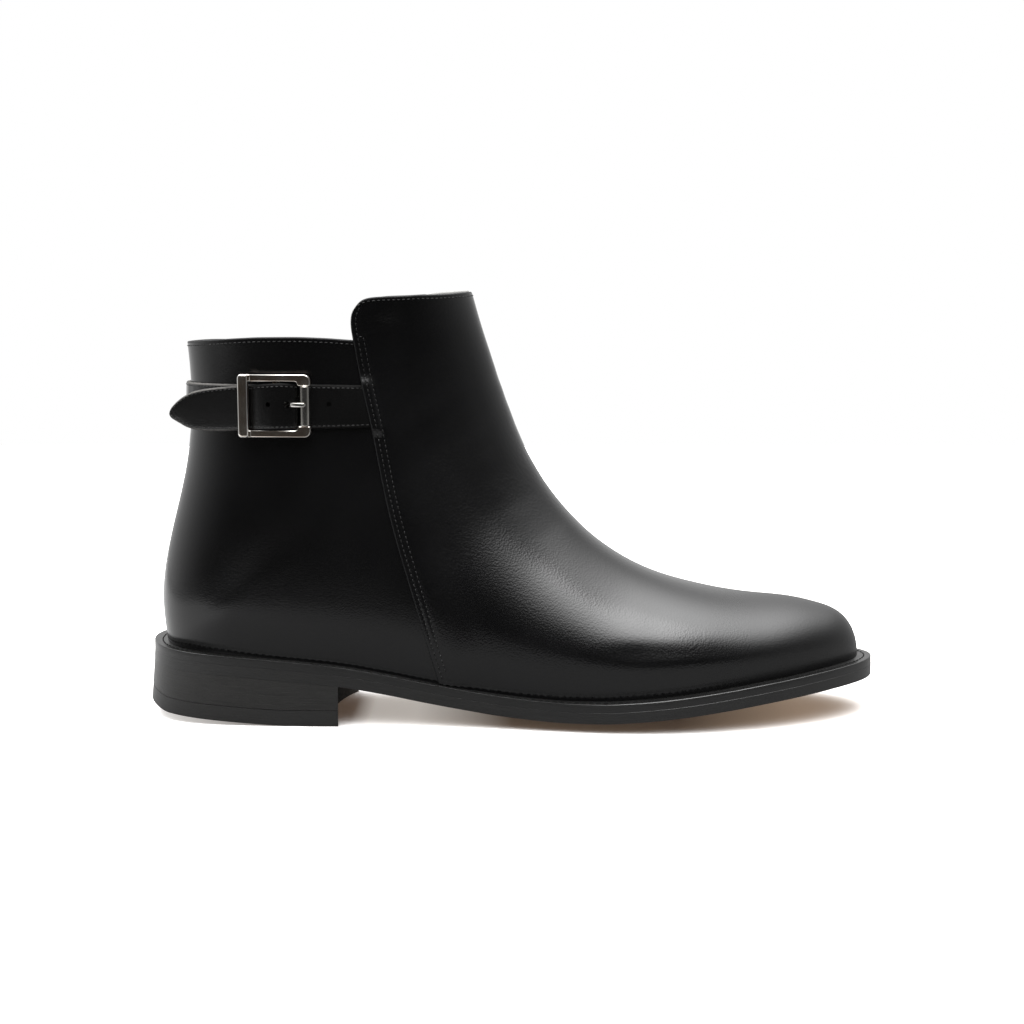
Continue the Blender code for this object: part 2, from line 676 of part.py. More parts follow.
lean_lo, lean_hi = lean_lo + ease_off, lean_hi + ease_off


def lean(a):
    """How far the leather stands out at the strap's low and high edge."""
    return float(np.interp(a, arc, lean_lo)), float(np.interp(a, arc, lean_hi))


def where(x, side):
    """Arc position where the girth passes x on the outer (+1) or inner (-1) side."""
    half = len(arc) // 2
    k = slice(half, None) if side > 0 else slice(0, half + 1)
    return float(np.interp(x, girth[k, 0] if side > 0 else girth[k, 0][::-1], arc[k] if side > 0 else arc[k][::-1]))


def on_girth(a):
    p = np.array([np.interp(a, arc, girth[:, 0]), np.interp(a, arc, girth[:, 1])])
    n = np.array([np.interp(a, arc, norm[:, 0]), np.interp(a, arc, norm[:, 1])])
    return p, n / np.linalg.norm(n)


A_BUCKLE = where(BUCKLE_X, 1)
A_OUT = where(SEAM_X, 1)
A_IN = where(SEAM_X, -1)


def band(name, path, heights, leans, thick, mat):
    """Strap swept along plan points; heights gives (low, high) z at each, leans the slope with the leather."""
    path = np.asarray(path)
    t = np.gradient(path, axis=0)
    t /= np.linalg.norm(t, axis=1)[:, None]
    n = np.column_stack([t[:, 1], -t[:, 0]]) * (thick / 2)
    n *= np.sign(float(np.sum(n[len(n) // 2] * (path[len(n) // 2] - mid))))
    vs, fs = [], []
    for p, m, (lo, hi), (b, c) in zip(path, n, heights, leans):
        low, high = p + m * (2 * b / thick), p + m * (2 * c / thick)
        for q, z in ((low + m, lo), (high + m, hi), (high - m, hi), (low - m, lo)):
            vs.append((q[0], q[1], z))
    for i in range(len(path) - 1):
        for k in range(4):
            m = (k + 1) % 4
            fs.append([4 * i + k, 4 * i + m, 4 * i + 4 + m, 4 * i + 4 + k])
    e = 4 * (len(path) - 1)
    fs += [[0, 1, 2, 3], [e + 3, e + 2, e + 1, e]]
    return make(name, vs, fs, mat)


rise = monotone(sorted(STRAP_RISE), 1)
tip_drop = monotone(sorted(STRAP_TIP), 1)
tip_half = monotone(sorted(STRAP_TIP), 2)
LEAVE = -16.0              # from here back the strap stands straight off the leather


def strap_point(u):
    """Middle of the strap u mm in front of the buckle's pivot."""
    if u >= LEAVE:
        p, n = on_girth(A_BUCKLE + u)
        return p + n * (float(rise(u)) if u < 14.3 else GAP + STRAP_T / 2 + 0.05)
    a, b = strap_point(LEAVE), strap_point(LEAVE + 1.0)
    d = (a - b) / np.linalg.norm(a - b)
    return a + d * (LEAVE - u)


us = np.concatenate([np.linspace(A_OUT - A_BUCKLE, 15.0, 9), np.linspace(13.5, LEAVE, 21),
                     np.linspace(LEAVE - 3, STRAP_TIP[-1][0], 14)])
path = [strap_point(u) for u in us]
heights = []
for u in us:
    z, h = STRAP_Z, 8.4
    if u < LEAVE:
        z, h = STRAP_Z + float(tip_drop(u)), float(tip_half(u))
    elif u < 14.3:
        k = (14.3 - u) / (14.3 - LEAVE)
        z, h = STRAP_Z - 0.6 * k, 8.4 + 0.2 * k
    heights.append((z - h, z + h))
leans = [lean(A_BUCKLE + max(u, LEAVE)) for u in us]
strap = band("strap", path, heights, leans, STRAP_T, STRAPS)
aa = np.linspace(A_IN, A_BUCKLE + 2.5, 52)
path = []
for a in aa:
    p, n = on_girth(a)
    path.append(p + n * (GAP + STRAP_T / 2 + 0.05))
band("buckle_strap", path, [(STRAP_Z - 8.7, STRAP_Z + 8.7)] * len(path), [lean(a) for a in aa], STRAP_T, STRAPS)

# ------------------------------------------------------------------- buckle
pa, _n = on_girth(A_BUCKLE - BUCKLE_U + 2)
pb, _n = on_girth(A_BUCKLE + BUCKLE_U - 2)
BU = (pb - pa) / np.linalg.norm(pb - pa)
BN = np.array([BU[1], -BU[0]])
BN *= np.sign(float(np.dot(BN, pa - mid)))
p0, n0 = on_girth(A_BUCKLE)
ZB = STRAP_Z - 0.2
lo_, hi_ = lean(A_BUCKLE)
TILT = (hi_ - lo_) / (2 * LEAN_H)
STAND = 0.5 * (hi_ + lo_)


def at_buckle(u, v, n):
    q = p0 + BU * u + BN * (n + STAND + TILT * v)
    return (q[0], q[1], ZB + v)


def block(name, u, v, n, bevel, mat):
    vs = [at_buckle(a, b, c) for a in u for b in v for c in n]
    fs = [[0, 1, 3, 2], [4, 6, 7, 5], [0, 4, 5, 1], [2, 3, 7, 6], [0, 2, 6, 4], [1, 5, 7, 3]]
    ob = make(name, vs, fs, mat)
    if bevel:
        m = ob.modifiers.new("edge", "BEVEL")
        m.width = bevel * MM
        m.segments = 2
        m.limit_method = "ANGLE"
    return ob


def rod(name, a, b, r, mat, n=16, r_in=None):
    """Round bar or tube between two points given in the buckle's plane."""
    a, b = np.array(at_buckle(*a)), np.array(at_buckle(*b))
    d = (b - a) / np.linalg.norm(b - a)
    e = np.cross(d, [0.3, 0.9, 0.2])
    e /= np.linalg.norm(e)
    f = np.cross(d, e)
    vs, fs = [], []
    ring = [e * math.cos(2 * math.pi * k / n) + f * math.sin(2 * math.pi * k / n) for k in range(n)]
    if r_in is None:
        for p in (a, b):
            vs += [p + r * q for q in ring]
        fs = [list(range(n))[::-1], list(range(n, 2 * n))]
        fs += [[k, (k + 1) % n, n + (k + 1) % n, n + k] for k in range(n)]
    else:
        for p, rr in ((a, r), (b, r), (b, r_in), (a, r_in)):
            vs += [p + rr * q for q in ring]
        for s in range(4):
            t = (s + 1) % 4
            fs += [[s * n + k, s * n + (k + 1) % n, t * n + (k + 1) % n, t * n + k] for k in range(n)]
    return make(name, vs, fs, mat)


frame = block("buckle_frame", (-BUCKLE_U, -BUCKLE_U + KEEPER_W), (-BUCKLE_V, BUCKLE_V), KEEPER_N, 0.4, METAL)
joins = [
    block("arm_high", (-BUCKLE_U + 0.6, BUCKLE_U), (BUCKLE_V - ARM_W, BUCKLE_V - 0.25), ARM_N, 0.35, METAL),
    block("arm_low", (-BUCKLE_U + 0.6, BUCKLE_U), (-BUCKLE_V + 0.25, -BUCKLE_V + ARM_W), ARM_N, 0.35, METAL),
    block("cheek_high", (BUCKLE_U - BLOCK_U, BUCKLE_U - 0.1), (BLOCK_V, BUCKLE_V - 0.4), (ARM_N[0] + 0.05, ARM_N[1] - 0.05), 0.3, METAL),
    block("cheek_low", (BUCKLE_U - BLOCK_U, BUCKLE_U - 0.1), (-BUCKLE_V + 0.4, -BLOCK_V), (ARM_N[0] + 0.05, ARM_N[1] - 0.05), 0.3, METAL),
    rod("pivot_bar", (0, -BUCKLE_V + 1.2, PIVOT_N), (0, BUCKLE_V - 1.2, PIVOT_N), PIVOT_R, METAL),
    rod("roller_bar", (ROLLER_U, -BLOCK_V - 1.5, ROLLER_N), (ROLLER_U, BLOCK_V + 1.5, ROLLER_N), ROD_R, METAL),
]
for ob in joins:
    boolean(frame, cutter(ob), "UNION")
rod("buckle_roller", (ROLLER_U, -BLOCK_V + GAP, ROLLER_N), (ROLLER_U, BLOCK_V - GAP, ROLLER_N), ROLLER_R, METAL2, 20, ROD_R + GAP)

# prong: from just in front of the pivot bar, up through the strap, onto the roller
PRONG = ((1.4, 3.50), (3.2, 3.35), (4.6, 3.45), (5.7, 4.15), (6.5, 5.3), (7.5, 6.35), (9.2, 7.1), (11.7, 7.40), (13.0, 7.25))
cur = bpy.data.curves.new("buckle_prong", "CURVE")
cur.dimensions = "3D"
cur.bevel_depth = PRONG_R * MM
cur.bevel_resolution = 2
cur.use_fill_caps = True
cur.resolution_u = 3
spl = cur.splines.new("POLY")
spl.points.add(len(PRONG) - 1)
for p, (u, n) in zip(spl.points, PRONG):
    p.co = (*out(at_buckle(u, 0.0, n)), 1.0)
temp = bpy.data.objects.new("prong_curve", cur)
scene.collection.objects.link(temp)
deps = bpy.context.evaluated_depsgraph_get()
me = bpy.data.meshes.new_from_object(temp.evaluated_get(deps))
bm = bmesh.new()
bm.from_mesh(me)
bmesh.ops.remove_doubles(bm, verts=bm.verts, dist=0.00001)
bmesh.ops.recalc_face_normals(bm, faces=bm.faces)
bm.to_mesh(me)
bm.free()
me.materials.clear()
me.materials.append(METAL3)
me.name = "buckle_prong"
bpy.data.objects.remove(temp, do_unlink=True)
prong = bpy.data.objects.new("buckle_prong", me)
scene.collection.objects.link(prong)

# holes in the strap: round ones, and the slot that the prong comes up through
for k, u in enumerate(HOLES_U):
    p, n = strap_point(u), on_girth(A_BUCKLE + u)[1]
    a, b = p - n * 4.0, p + n * 4.0
    e = np.array([0, 0, 1.0])
    f = np.array([-n[1], n[0], 0.0])
    ring = [e * HOLE_R * math.cos(2 * math.pi * i / 12) + f * HOLE_R * math.sin(2 * math.pi * i / 12) for i in range(12)]
    vs = [np.array([q[0], q[1], STRAP_Z]) + r for q in (a, b) for r in ring]
    fs = [list(range(12))[::-1], list(range(12, 24))] + [[i, (i + 1) % 12, 12 + (i + 1) % 12, 12 + i] for i in range(12)]
    boolean(strap, cutter(make("hole_%d" % k, vs, fs, STRAPS)), "DIFFERENCE")
slot = block("prong_slot", (4.0, 7.9), (-1.2, 1.2), (1.0, 9.0), 0.0, STRAPS)
boolean(strap, cutter(slot), "DIFFERENCE")
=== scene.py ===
# Buckle ankle boot, right foot: the looks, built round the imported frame.
# Lengths in millimetres with x counted from the back of the outsole, as in the
# part; out() moves them into the frame.  Outer side at -Y, toe at +X.
import math
import bpy
import bmesh
import numpy as np
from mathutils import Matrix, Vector
from mathutils.bvhtree import BVHTree


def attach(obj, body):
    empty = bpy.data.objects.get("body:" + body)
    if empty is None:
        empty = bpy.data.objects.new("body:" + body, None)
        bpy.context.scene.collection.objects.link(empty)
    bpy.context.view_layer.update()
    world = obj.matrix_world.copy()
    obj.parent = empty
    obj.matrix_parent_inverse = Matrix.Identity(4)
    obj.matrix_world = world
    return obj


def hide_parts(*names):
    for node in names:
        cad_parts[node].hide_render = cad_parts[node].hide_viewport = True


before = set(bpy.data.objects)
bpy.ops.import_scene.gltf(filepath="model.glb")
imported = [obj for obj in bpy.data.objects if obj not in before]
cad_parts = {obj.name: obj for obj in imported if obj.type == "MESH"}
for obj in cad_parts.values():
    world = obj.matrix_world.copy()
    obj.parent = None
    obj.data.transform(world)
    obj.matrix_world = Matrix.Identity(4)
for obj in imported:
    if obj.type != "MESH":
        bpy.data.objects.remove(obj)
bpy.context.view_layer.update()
scene = bpy.context.scene
scene.view_settings.view_transform = "Standard"
scene.view_settings.look = "None"

# ---------------------------------------------------------------- sizes (mm)
MM = 0.001
SOLE_LENGTH = 300.0
GAP = 0.3
WALL = 2.4
WELT_T = 3.4
OUTSOLE_T = 4.1
TOP_PIECE_T = 6.2
HEEL_FLAT_X = 58.0
HEEL_ROLL = 4.0
BREAST_LAT = 80.5
BREAST_MED = 83.5
BREAST_HOLLOW = 6.0
STRAP_T = 1.8
STRAP_Z = 128.4
SEAM_X = 97.0

SOLE_PLAN = (   # x, outer half-width, inner half-width
    (0.0, -0.5, 0.5), (1.6, 11.0, 12.0), (5.6, 19.8, 20.6), (12.0, 26.4, 26.8), (21.0, 31.0, 31.0),
    (34.0, 33.8, 33.4), (50.0, 35.1, 33.6), (70.0, 36.0, 32.2), (92.0, 36.6, 29.6), (115.0, 37.6, 27.6),
    (138.0, 40.2, 29.2), (160.0, 44.4, 35.4), (180.0, 48.3, 43.2), (196.0, 50.1, 48.2), (211.0, 50.2, 50.2),
    (227.0, 48.4, 50.0), (243.0, 44.6, 47.4), (258.0, 39.2, 42.8), (271.0, 32.8, 36.8), (281.5, 25.8, 30.0),
    (289.5, 18.8, 23.2), (295.2, 12.0, 16.4), (298.6, 5.2, 9.6), (300.0, -2.2, 2.2),
)
WELT_LINE = (   # x, height of the welt's top face, ledge outside the upper
    (0.0, 30.4, 7.0), (12.0, 29.5, 6.0), (30.0, 28.2, 4.6), (56.0, 26.2, 3.8), (80.0, 23.9, 3.8),
    (100.0, 20.6, 3.6), (115.0, 17.7, 3.6), (130.0, 15.2, 3.8), (145.0, 13.2, 4.2), (160.0, 11.9, 4.8),
    (172.0, 11.4, 5.2), (185.0, 11.5, 5.6), (200.0, 12.4, 5.8), (215.0, 13.8, 5.8), (232.0, 15.8, 5.8),
    (256.0, 18.7, 5.8), (282.0, 21.3, 5.8), (300.0, 22.4, 5.8),
)
TREAD_LINE = (  # x, height of the tread under the middle of the outsole
    (84.0, 14.6), (100.0, 10.6), (115.0, 7.0), (130.0, 4.0), (145.0, 1.6), (158.0, 0.3), (165.0, 0.0), (180.0, 0.0),
    (192.0, 0.0), (200.0, 0.5), (215.0, 2.2), (232.0, 4.7), (256.0, 8.6), (282.0, 12.2), (300.0, 14.6),
)
UPPER = (       # one row a section, as in the part
    # low_x  low_z   top_x  top_z    lat    med  front   peak  ridge_y
    (294.1,  None,  294.1,  22.6,   0.0,   0.0,   0.3,  2.00,  2.2),
    (293.5,  None,  293.5,  28.4,   0.4,   0.4,   4.6,  2.00,  2.2),
    (292.2,  None,  292.2,  32.6,   0.6,   0.6,   7.0,  2.05,  2.2),
    (289.6,  None,  289.6,  37.0,   0.8,   0.8,  10.1,  2.10,  2.2),
    (285.0,  None,  285.0,  40.9,   1.0,   1.0,  13.3,  2.20,  2.4),
    (278.0,  None,  278.0,  43.5,   1.1,   1.1,  15.5,  2.25,  2.7),
    (268.0,  None,  268.0,  45.7,   1.2,   1.2,  17.6,  2.25,  3.1),
    (255.0,  None,  255.0,  47.0,   1.3,   1.3,  19.4,  2.20,  3.5),
    (240.0,  None,  240.0,  48.5,   1.4,   1.4,  21.8,  2.10,  4.0),
    (225.0,  None,  225.0,  51.6,  44.3,  45.8,  25.8,  2.00,  4.4),
    (210.0,  None,  210.5,  56.2,  45.9,  46.0,  31.4,  1.90,  4.6),
    (195.0,  None,  197.0,  62.6,  45.8,  44.3,  38.0,  1.80,  4.6),
    (180.0,  None,  184.5,  71.2,  44.5,  41.0,  45.0,  1.73,  4.4),
    (163.0,  None,  175.0,  80.2,  42.2,  37.5,  51.5,  1.72,  4.0),
    (143.0,  None,  167.5,  89.0,  39.4,  35.0,  58.0,  1.78,  3.5),
    (120.0,  None,  161.4,  97.9,  37.2,  33.9,  66.0,  1.92,  3.0),
    ( 95.0,  None,  156.6, 106.4,  35.8,  33.6,  76.0,  2.12,  2.5),
    ( 68.0,  None,  152.5, 115.5,  34.9,  33.5,  88.0,  2.42,  2.0),
    ( 42.0,  None,  149.3, 123.8,  34.2,  33.3, 100.0,  2.70,  1.7),
    ( 22.0,  None,  147.2, 129.5,  33.7,  33.0, 108.0,  2.90,  1.5),
    ( 11.0,  None,  146.0, 133.0,  33.4,  32.7, 111.5,  3.00,  1.3),
    (  7.0,  31.0,  144.9, 136.0,  33.2,  32.5, 112.0,  3.02,  1.2),
    (  5.5,  48.0,  143.2, 141.2,  33.0,  32.3, 110.0,  3.00,  1.0),
    (  7.2,  64.0,  141.4, 146.8,  32.6,  32.0, 105.0,  2.90,  0.9),
    ( 11.3,  82.0,  139.3, 153.2,  32.2,  31.7,  96.0,  2.76,  0.8),
    ( 15.6, 100.0,  137.4, 159.2,  32.0,  31.6,  86.0,  2.62,  0.7),
    ( 18.1, 118.0,  135.7, 165.0,  32.4,  32.0,  77.0,  2.52,  0.6),
    ( 18.5, 136.0,  134.3, 170.0,  33.2,  32.8,  70.5,  2.45,  0.5),
    ( 17.3, 152.5,  133.0, 174.5,  34.1,  33.7,  66.5,  2.40,  0.5),
    ( 16.2, 162.0,  131.5, 180.0,  34.6,  34.2,  65.0,  2.40,  0.5),
)
TUCK = (        # x, height over which the upper tucks in to the welt
    (0.0, 22.0), (22.0, 23.0), (42.0, 25.0), (68.0, 27.0), (95.0, 27.0), (120.0, 25.0), (143.0, 22.0),
    (163.0, 18.0), (180.0, 15.0), (210.0, 12.5), (240.0, 11.0), (268.0, 9.0), (285.0, 7.0), (292.0, 4.6), (300.0, 2.6),
)
BACK_RUN = (    # z, how far from the back seam the heel takes to reach full width
    (25.0, 31.0), (45.0, 33.0), (65.0, 36.5), (85.0, 41.0), (105.0, 45.5), (125.0, 48.5), (150.0, 50.0), (170.0, 50.0),
)
BACK_FULL = 2.3
TUCK_EASE = 2.4
HEEL_ROW = 21
WIDE_ROW = 9
BACK_Y = 0.5

STRAP_RISE = ((14.3, 1.25), (11.6, 1.35), (9.0, 2.85), (6.6, 4.45), (3.0, 5.45),
              (0.0, 5.70), (-4.0, 5.25), (-8.0, 4.15), (-12.3, 3.35), (-16.0, 3.30))
STRAP_EDGES = (  # u, upper edge, lower edge from the strap's middle height
    (-44.8, -3.6, -5.0), (-44.65, -2.9, -5.5), (-44.2, -2.0, -6.0), (-42.9, -0.5, -6.75), (-40.2, 1.75, -8.1), (-37.5, 3.4, -9.4),
    (-33.5, 5.0, -10.3), (-28.0, 6.1, -10.7), (-21.0, 6.9, -10.6), (-16.0, 7.4, -10.3), (-10.0, 7.7, -10.0), (-4.0, 8.4, -9.8), (3.0, 8.8, -9.7), (9.0, 8.3, -9.7),
    (14.3, 8.1, -9.6), (24.0, 7.9, -9.4), (46.0, 7.4, -9.0),
)
BUCKLE_X = 57.3
BUCKLE_U = 14.3
BUCKLE_V = 12.5
ARM_W = 2.9
ARM_N = (3.4, 5.6)
KEEPER_W = 4.1
KEEPER_N = (4.75, 7.0)
BLOCK_U = 5.0
BLOCK_V = 7.9
PIVOT_R = 0.9
PIVOT_N = 3.6
ROD_R = 1.1
ROLLER_R = 2.0
ROLLER_U = 12.1
ROLLER_N = 4.5
PRONG_R = 0.8
PRONG = ((1.4, 3.50), (3.2, 3.35), (4.6, 3.45), (5.7, 4.15), (6.5, 5.3), (7.5, 6.35), (9.2, 7.1), (11.7, 7.40), (13.0, 7.25))
HOLES_U = (-2.1, 20.6)
HOLE_R = 0.95
LEAVE = -16.0

# visual panels
SEAM = (        # rear edge of the front panel from the welt up, side view: x, z
    (121.3, 16.9), (120.3, 20.4), (116.3, 33.8), (112.3, 47.7), (108.1, 61.8), (103.5, 77.8), (99.6, 94.0),
    (96.3, 111.0), (94.4, 120.6), (92.2, 130.4), (89.9, 142.1), (88.0, 153.6), (87.2, 159.0), (87.2, 162.6),
    (87.8, 165.1), (88.7, 166.8),
)
FRONT_TOP = (   # collar of the front panel, corner to ridge: x, z
    (88.7, 166.8), (90.3, 168.5), (92.8, 169.7), (96.0, 170.2), (104.0, 170.5), (114.0, 171.0), (126.0, 171.7), (134.2, 172.5),
)
BACK_TOP = (    # collar of the quarter: x, z
    (10.0, 151.7), (17.0, 152.0), (28.0, 152.9), (40.0, 153.8), (52.0, 154.4), (64.0, 154.5), (76.0, 154.1), (87.2, 153.3), (100.0, 152.6),
)
INNER_DROP = 2.6           # inner side of the quarter's collar sits lower
PANEL_T = 1.05             # leather of the panels
LINING_T = 1.0
OVERLAP = 9.0              # quarter goes on under the front panel
PROUD = 1.15               # front panel's edge above the quarter
ROW_1, ROW_2 = 1.55, 3.75  # stitch rows from the panel's edge
PITCH = 2.05
SKIVED = 0.8               # strap ends under the front panel
COLLAR_ROW = 1.25

# creases: x, z along the side view from ridge downwards; depth, half-width (mm)
CREASES = (
    # depth  width   line
    (0.040, 3.8, ((155.5, 106.5), (148.0, 103.0), (138.0, 97.5), (128.0, 94.0))),
    (0.030, 2.8, ((150.8, 118.0), (143.0, 112.0), (134.0, 108.5), (126.0, 107.0))),
    (0.026, 2.6, ((146.6, 130.0), (139.0, 124.0), (131.0, 121.0))),
    (0.036, 3.4, ((162.5, 94.5), (155.0, 89.5), (145.0, 86.0), (134.0, 82.5))),
    (0.022, 2.4, ((141.6, 144.5), (135.0, 139.0), (128.0, 136.5))),
    (0.028, 3.2, ((172.0, 82.0), (163.0, 76.0), (152.0, 73.0))),
)

# ------------------------------------------------------------------- camera
cam_data = bpy.data.cameras.new("camera")
cam_data.sensor_width = 36.0
cam_data.lens = 36.0 * 1898.0 / 1024.0
camera = bpy.data.objects.new("camera", cam_data)
scene.collection.objects.link(camera)
camera.location = (0.0, -0.780, 0.175)
camera.rotation_mode = "QUATERNION"
camera.rotation_quaternion = (Vector((0.0, 0.0, 0.082)) - camera.location).to_track_quat("-Z", "Y")
scene.camera = camera


# ---------------------------------------------------------------- functions
def spline(ts, ys):
    """Natural cubic through (ts, ys); returns a function of t."""
    t = np.asarray(ts, float)
    y = np.asarray(ys, float)
    n = len(t)
    h = np.diff(t)
    A = np.eye(n)
    B = np.zeros(y.shape)
    for i in range(1, n - 1):
        A[i, i - 1] = h[i - 1]
        A[i, i] = 2 * (h[i - 1] + h[i])
        A[i, i + 1] = h[i]
        B[i] = 6 * ((y[i + 1] - y[i]) / h[i] - (y[i] - y[i - 1]) / h[i - 1])
    m = np.linalg.solve(A, B)

    def at(q):
        q = np.asarray(q, float)
        k = np.clip(np.searchsorted(t, q, side="right") - 1, 0, n - 2)
        a = (t[k + 1] - q) / h[k]
        b = (q - t[k]) / h[k]
        hk = h[k]
        if y.ndim == 2:
            a, b, hk = a[..., None], b[..., None], hk[..., None]
        return a * y[k] + b * y[k + 1] + ((a ** 3 - a) * m[k] + (b ** 3 - b) * m[k + 1]) * hk ** 2 / 6
    return at


def monotone(rows, col):
    """Shape-keeping cubic of column col over column 0."""
    x = np.array([r[0] for r in rows], float)
    y = np.array([r[col] for r in rows], float)
    h = np.diff(x)
    d = np.diff(y) / h
    m = np.zeros(len(x))
    m[0], m[-1] = d[0], d[-1]
    for i in range(1, len(x) - 1):
        if d[i - 1] * d[i] > 0:
            w1, w2 = 2 * h[i] + h[i - 1], h[i] + 2 * h[i - 1]
            m[i] = (w1 + w2) / (w1 / d[i - 1] + w2 / d[i])

    def at(q):
        q = np.clip(np.asarray(q, float), x[0], x[-1])
        k = np.clip(np.searchsorted(x, q, side="right") - 1, 0, len(x) - 2)
        s = (q - x[k]) / h[k]
        return ((1 + 2 * s) * (1 - s) ** 2 * y[k] + s * (1 - s) ** 2 * h[k] * m[k]
                + s * s * (3 - 2 * s) * y[k + 1] + s * s * (s - 1) * h[k] * m[k + 1])
    return at


def smooth(a):
    a = np.clip(a, 0.0, 1.0)
    return a * a * (3 - 2 * a)


def unit(v):
    n = np.linalg.norm(v, axis=-1, keepdims=True)
    return v / np.maximum(n, 1e-12)


def line_of(rows):
    """Smooth curve through side-view points, by the fraction of its length."""
    p = np.array(rows, float)
    d = np.r_[0, np.cumsum(np.linalg.norm(np.diff(p, axis=0), axis=1))]
    f = spline(d, p)
    q = f(np.linspace(0, d[-1], 1500))
    e = np.r_[0, np.cumsum(np.linalg.norm(np.diff(q, axis=0), axis=1))]

    def at(u):
        u = np.asarray(u, float) * e[-1]
        return np.stack([np.interp(u, e, q[:, 0]), np.interp(u, e, q[:, 1])], axis=-1)
    return at, e[-1]


welt_top = monotone(WELT_LINE, 1)
ledge = monotone(WELT_LINE, 2)
tread_mid = monotone(TREAD_LINE, 1)


def closed_plan(n):
    """Outsole edge as n points, from the heel back along the outer side."""
    lat = [(r[0], -r[1]) for r in SOLE_PLAN]
    med = [(r[0], r[2]) for r in SOLE_PLAN[1:-1]][::-1]
    ring = np.array(lat + med, float)
    k = len(ring)
    pad = 6
    pts = np.vstack([ring[-pad:], ring, ring[:pad + 1]])
    d = np.r_[0, np.cumsum(np.linalg.norm(np.diff(pts, axis=0), axis=1))]
    f = spline(d, pts)
    dense = f(np.linspace(d[pad], d[pad + k], 4000, endpoint=False))
    loop = np.vstack([dense, dense[:1]])
    s = np.r_[0, np.cumsum(np.linalg.norm(np.diff(loop, axis=0), axis=1))]
    q = np.linspace(0, s[-1], n, endpoint=False)
    return np.column_stack([np.interp(q, s, loop[:, 0]), np.interp(q, s, loop[:, 1])])


def inset(plan, by):
    """Plan points moved inwards along their own normals."""
    t = np.roll(plan, -1, axis=0) - np.roll(plan, 1, axis=0)
    t /= np.linalg.norm(t, axis=1)[:, None]
    normal = np.column_stack([-t[:, 1], t[:, 0]])
    return plan + normal * np.asarray(by, float).reshape(-1, 1)


PLAN = closed_plan(3000)
FEATHER = inset(PLAN, ledge(PLAN[:, 0]))
i0, i1 = int(np.argmin(FEATHER[:, 0])), int(np.argmax(FEATHER[:, 0]))
ring = np.roll(FEATHER, -i0, axis=0)
cutk = (i1 - i0) % len(FEATHER)
FE_LAT = ring[:cutk + 1]
FE_MED = np.vstack([ring[cutk:], ring[:1]])[::-1]
FE_X0, FE_X1 = FE_LAT[0, 0], FE_LAT[-1, 0]


def feather(x):
    x = np.clip(x, FE_X0, FE_X1)
    return np.interp(x, FE_LAT[:, 0], FE_LAT[:, 1]), np.interp(x, FE_MED[:, 0], FE_MED[:, 1])


ROWS = np.array([[np.nan if v is None else v for v in r] for r in UPPER], float)
ROWS[0, 0] = ROWS[0, 2] = FE_X1
ROWS[0, 3] = welt_top(FE_X1) + GAP
ROWS[HEEL_ROW, 0] = FE_X0
open_z = np.isnan(ROWS[:, 1])
ROWS[open_z, 1] = welt_top(ROWS[open_z, 0]) + GAP
ROWS[HEEL_ROW, 1] = welt_top(FE_X0) + GAP
step = 0.5 * (np.linalg.norm(np.diff(ROWS[:, 0:2], axis=0), axis=1)
              + np.linalg.norm(np.diff(ROWS[:, 2:4], axis=0), axis=1))
S_ROW = np.r_[0, np.cumsum(step)]
S_HEEL = S_ROW[HEEL_ROW]
S_WIDE = S_ROW[WIDE_ROW]
low_open = monotone(list(zip(S_ROW[:HEEL_ROW + 1], ROWS[:HEEL_ROW + 1, 0])), 1)
low_shut = spline(S_ROW[HEEL_ROW:], ROWS[HEEL_ROW:, 0:2])
top_of = spline(S_ROW, ROWS[:, 2:4])
rest_of = spline(S_ROW, ROWS[:, 6:9])
over = ROWS[:, 4:6].copy()
whole = ROWS[:, 4:6].copy()
for k in range(WIDE_ROW + 4):
    a, b = feather(ROWS[k, 0])
    if k < WIDE_ROW:
        whole[k] += (-a, b)
    else:
        over[k] -= (-a, b)
out_of = spline(S_ROW[:WIDE_ROW + 4], over[:WIDE_ROW + 4])
wide_of = spline(S_ROW[WIDE_ROW - 3:], whole[WIDE_ROW - 3:])
tuck_h = monotone(TUCK, 1)
back_run = monotone(BACK_RUN, 1)
back_x = spline(ROWS[HEEL_ROW:, 1], ROWS[HEEL_ROW:, 0])


def widths(s, lx):
    if s < S_WIDE:
        yl, ym = feather(lx)
        o = out_of(s)
        return yl - max(o[0], 0.0), ym + max(o[1], 0.0)
    w = wide_of(s)
    return -w[0], w[1]


def heel_close(x, z):
    d = x - back_x(np.maximum(z, ROWS[HEEL_ROW, 1]))
    a = np.clip(1 - d / back_run(z), 0, 1)
    return (1 - a ** BACK_FULL) ** 0.5


tuck_rows = []
for s_ in np.linspace(1e-6, S_HEEL - 1e-6, 1500):
    x_ = min(max(float(low_open(s_)), FE_X0), FE_X1)
    c_ = float(heel_close(x_, welt_top(x_) + GAP))
    f_ = feather(x_)
    w_ = widths(s_, x_)
    tuck_rows.append((x_, f_[0] - (BACK_Y + (w_[0] - BACK_Y) * c_), (BACK_Y + (w_[1] - BACK_Y) * c_) - f_[1]))
tuck_rows = np.array(tuck_rows)[::-1]


def station(s):
    """low x, low z, top x, top z, front, peak, ridge y, outer y, inner y of the section at s."""
    top = top_of(s)
    front, peak, ridge = rest_of(s)
    if s < S_HEEL:
        lx = min(max(float(low_open(s)), FE_X0), FE_X1)
        lz = float(welt_top(lx)) + GAP
    else:
        lx, lz = low_shut(s)
    wl, wm = widths(s, lx)
    return (lx, lz, top[0], top[1], front, peak, ridge, wl, wm)


SS = np.r_[np.linspace(1e-5, S_ROW[5], 240, endpoint=False), np.linspace(S_ROW[5], S_ROW[-1], 1700)]
ST = np.array([station(s) for s in SS])


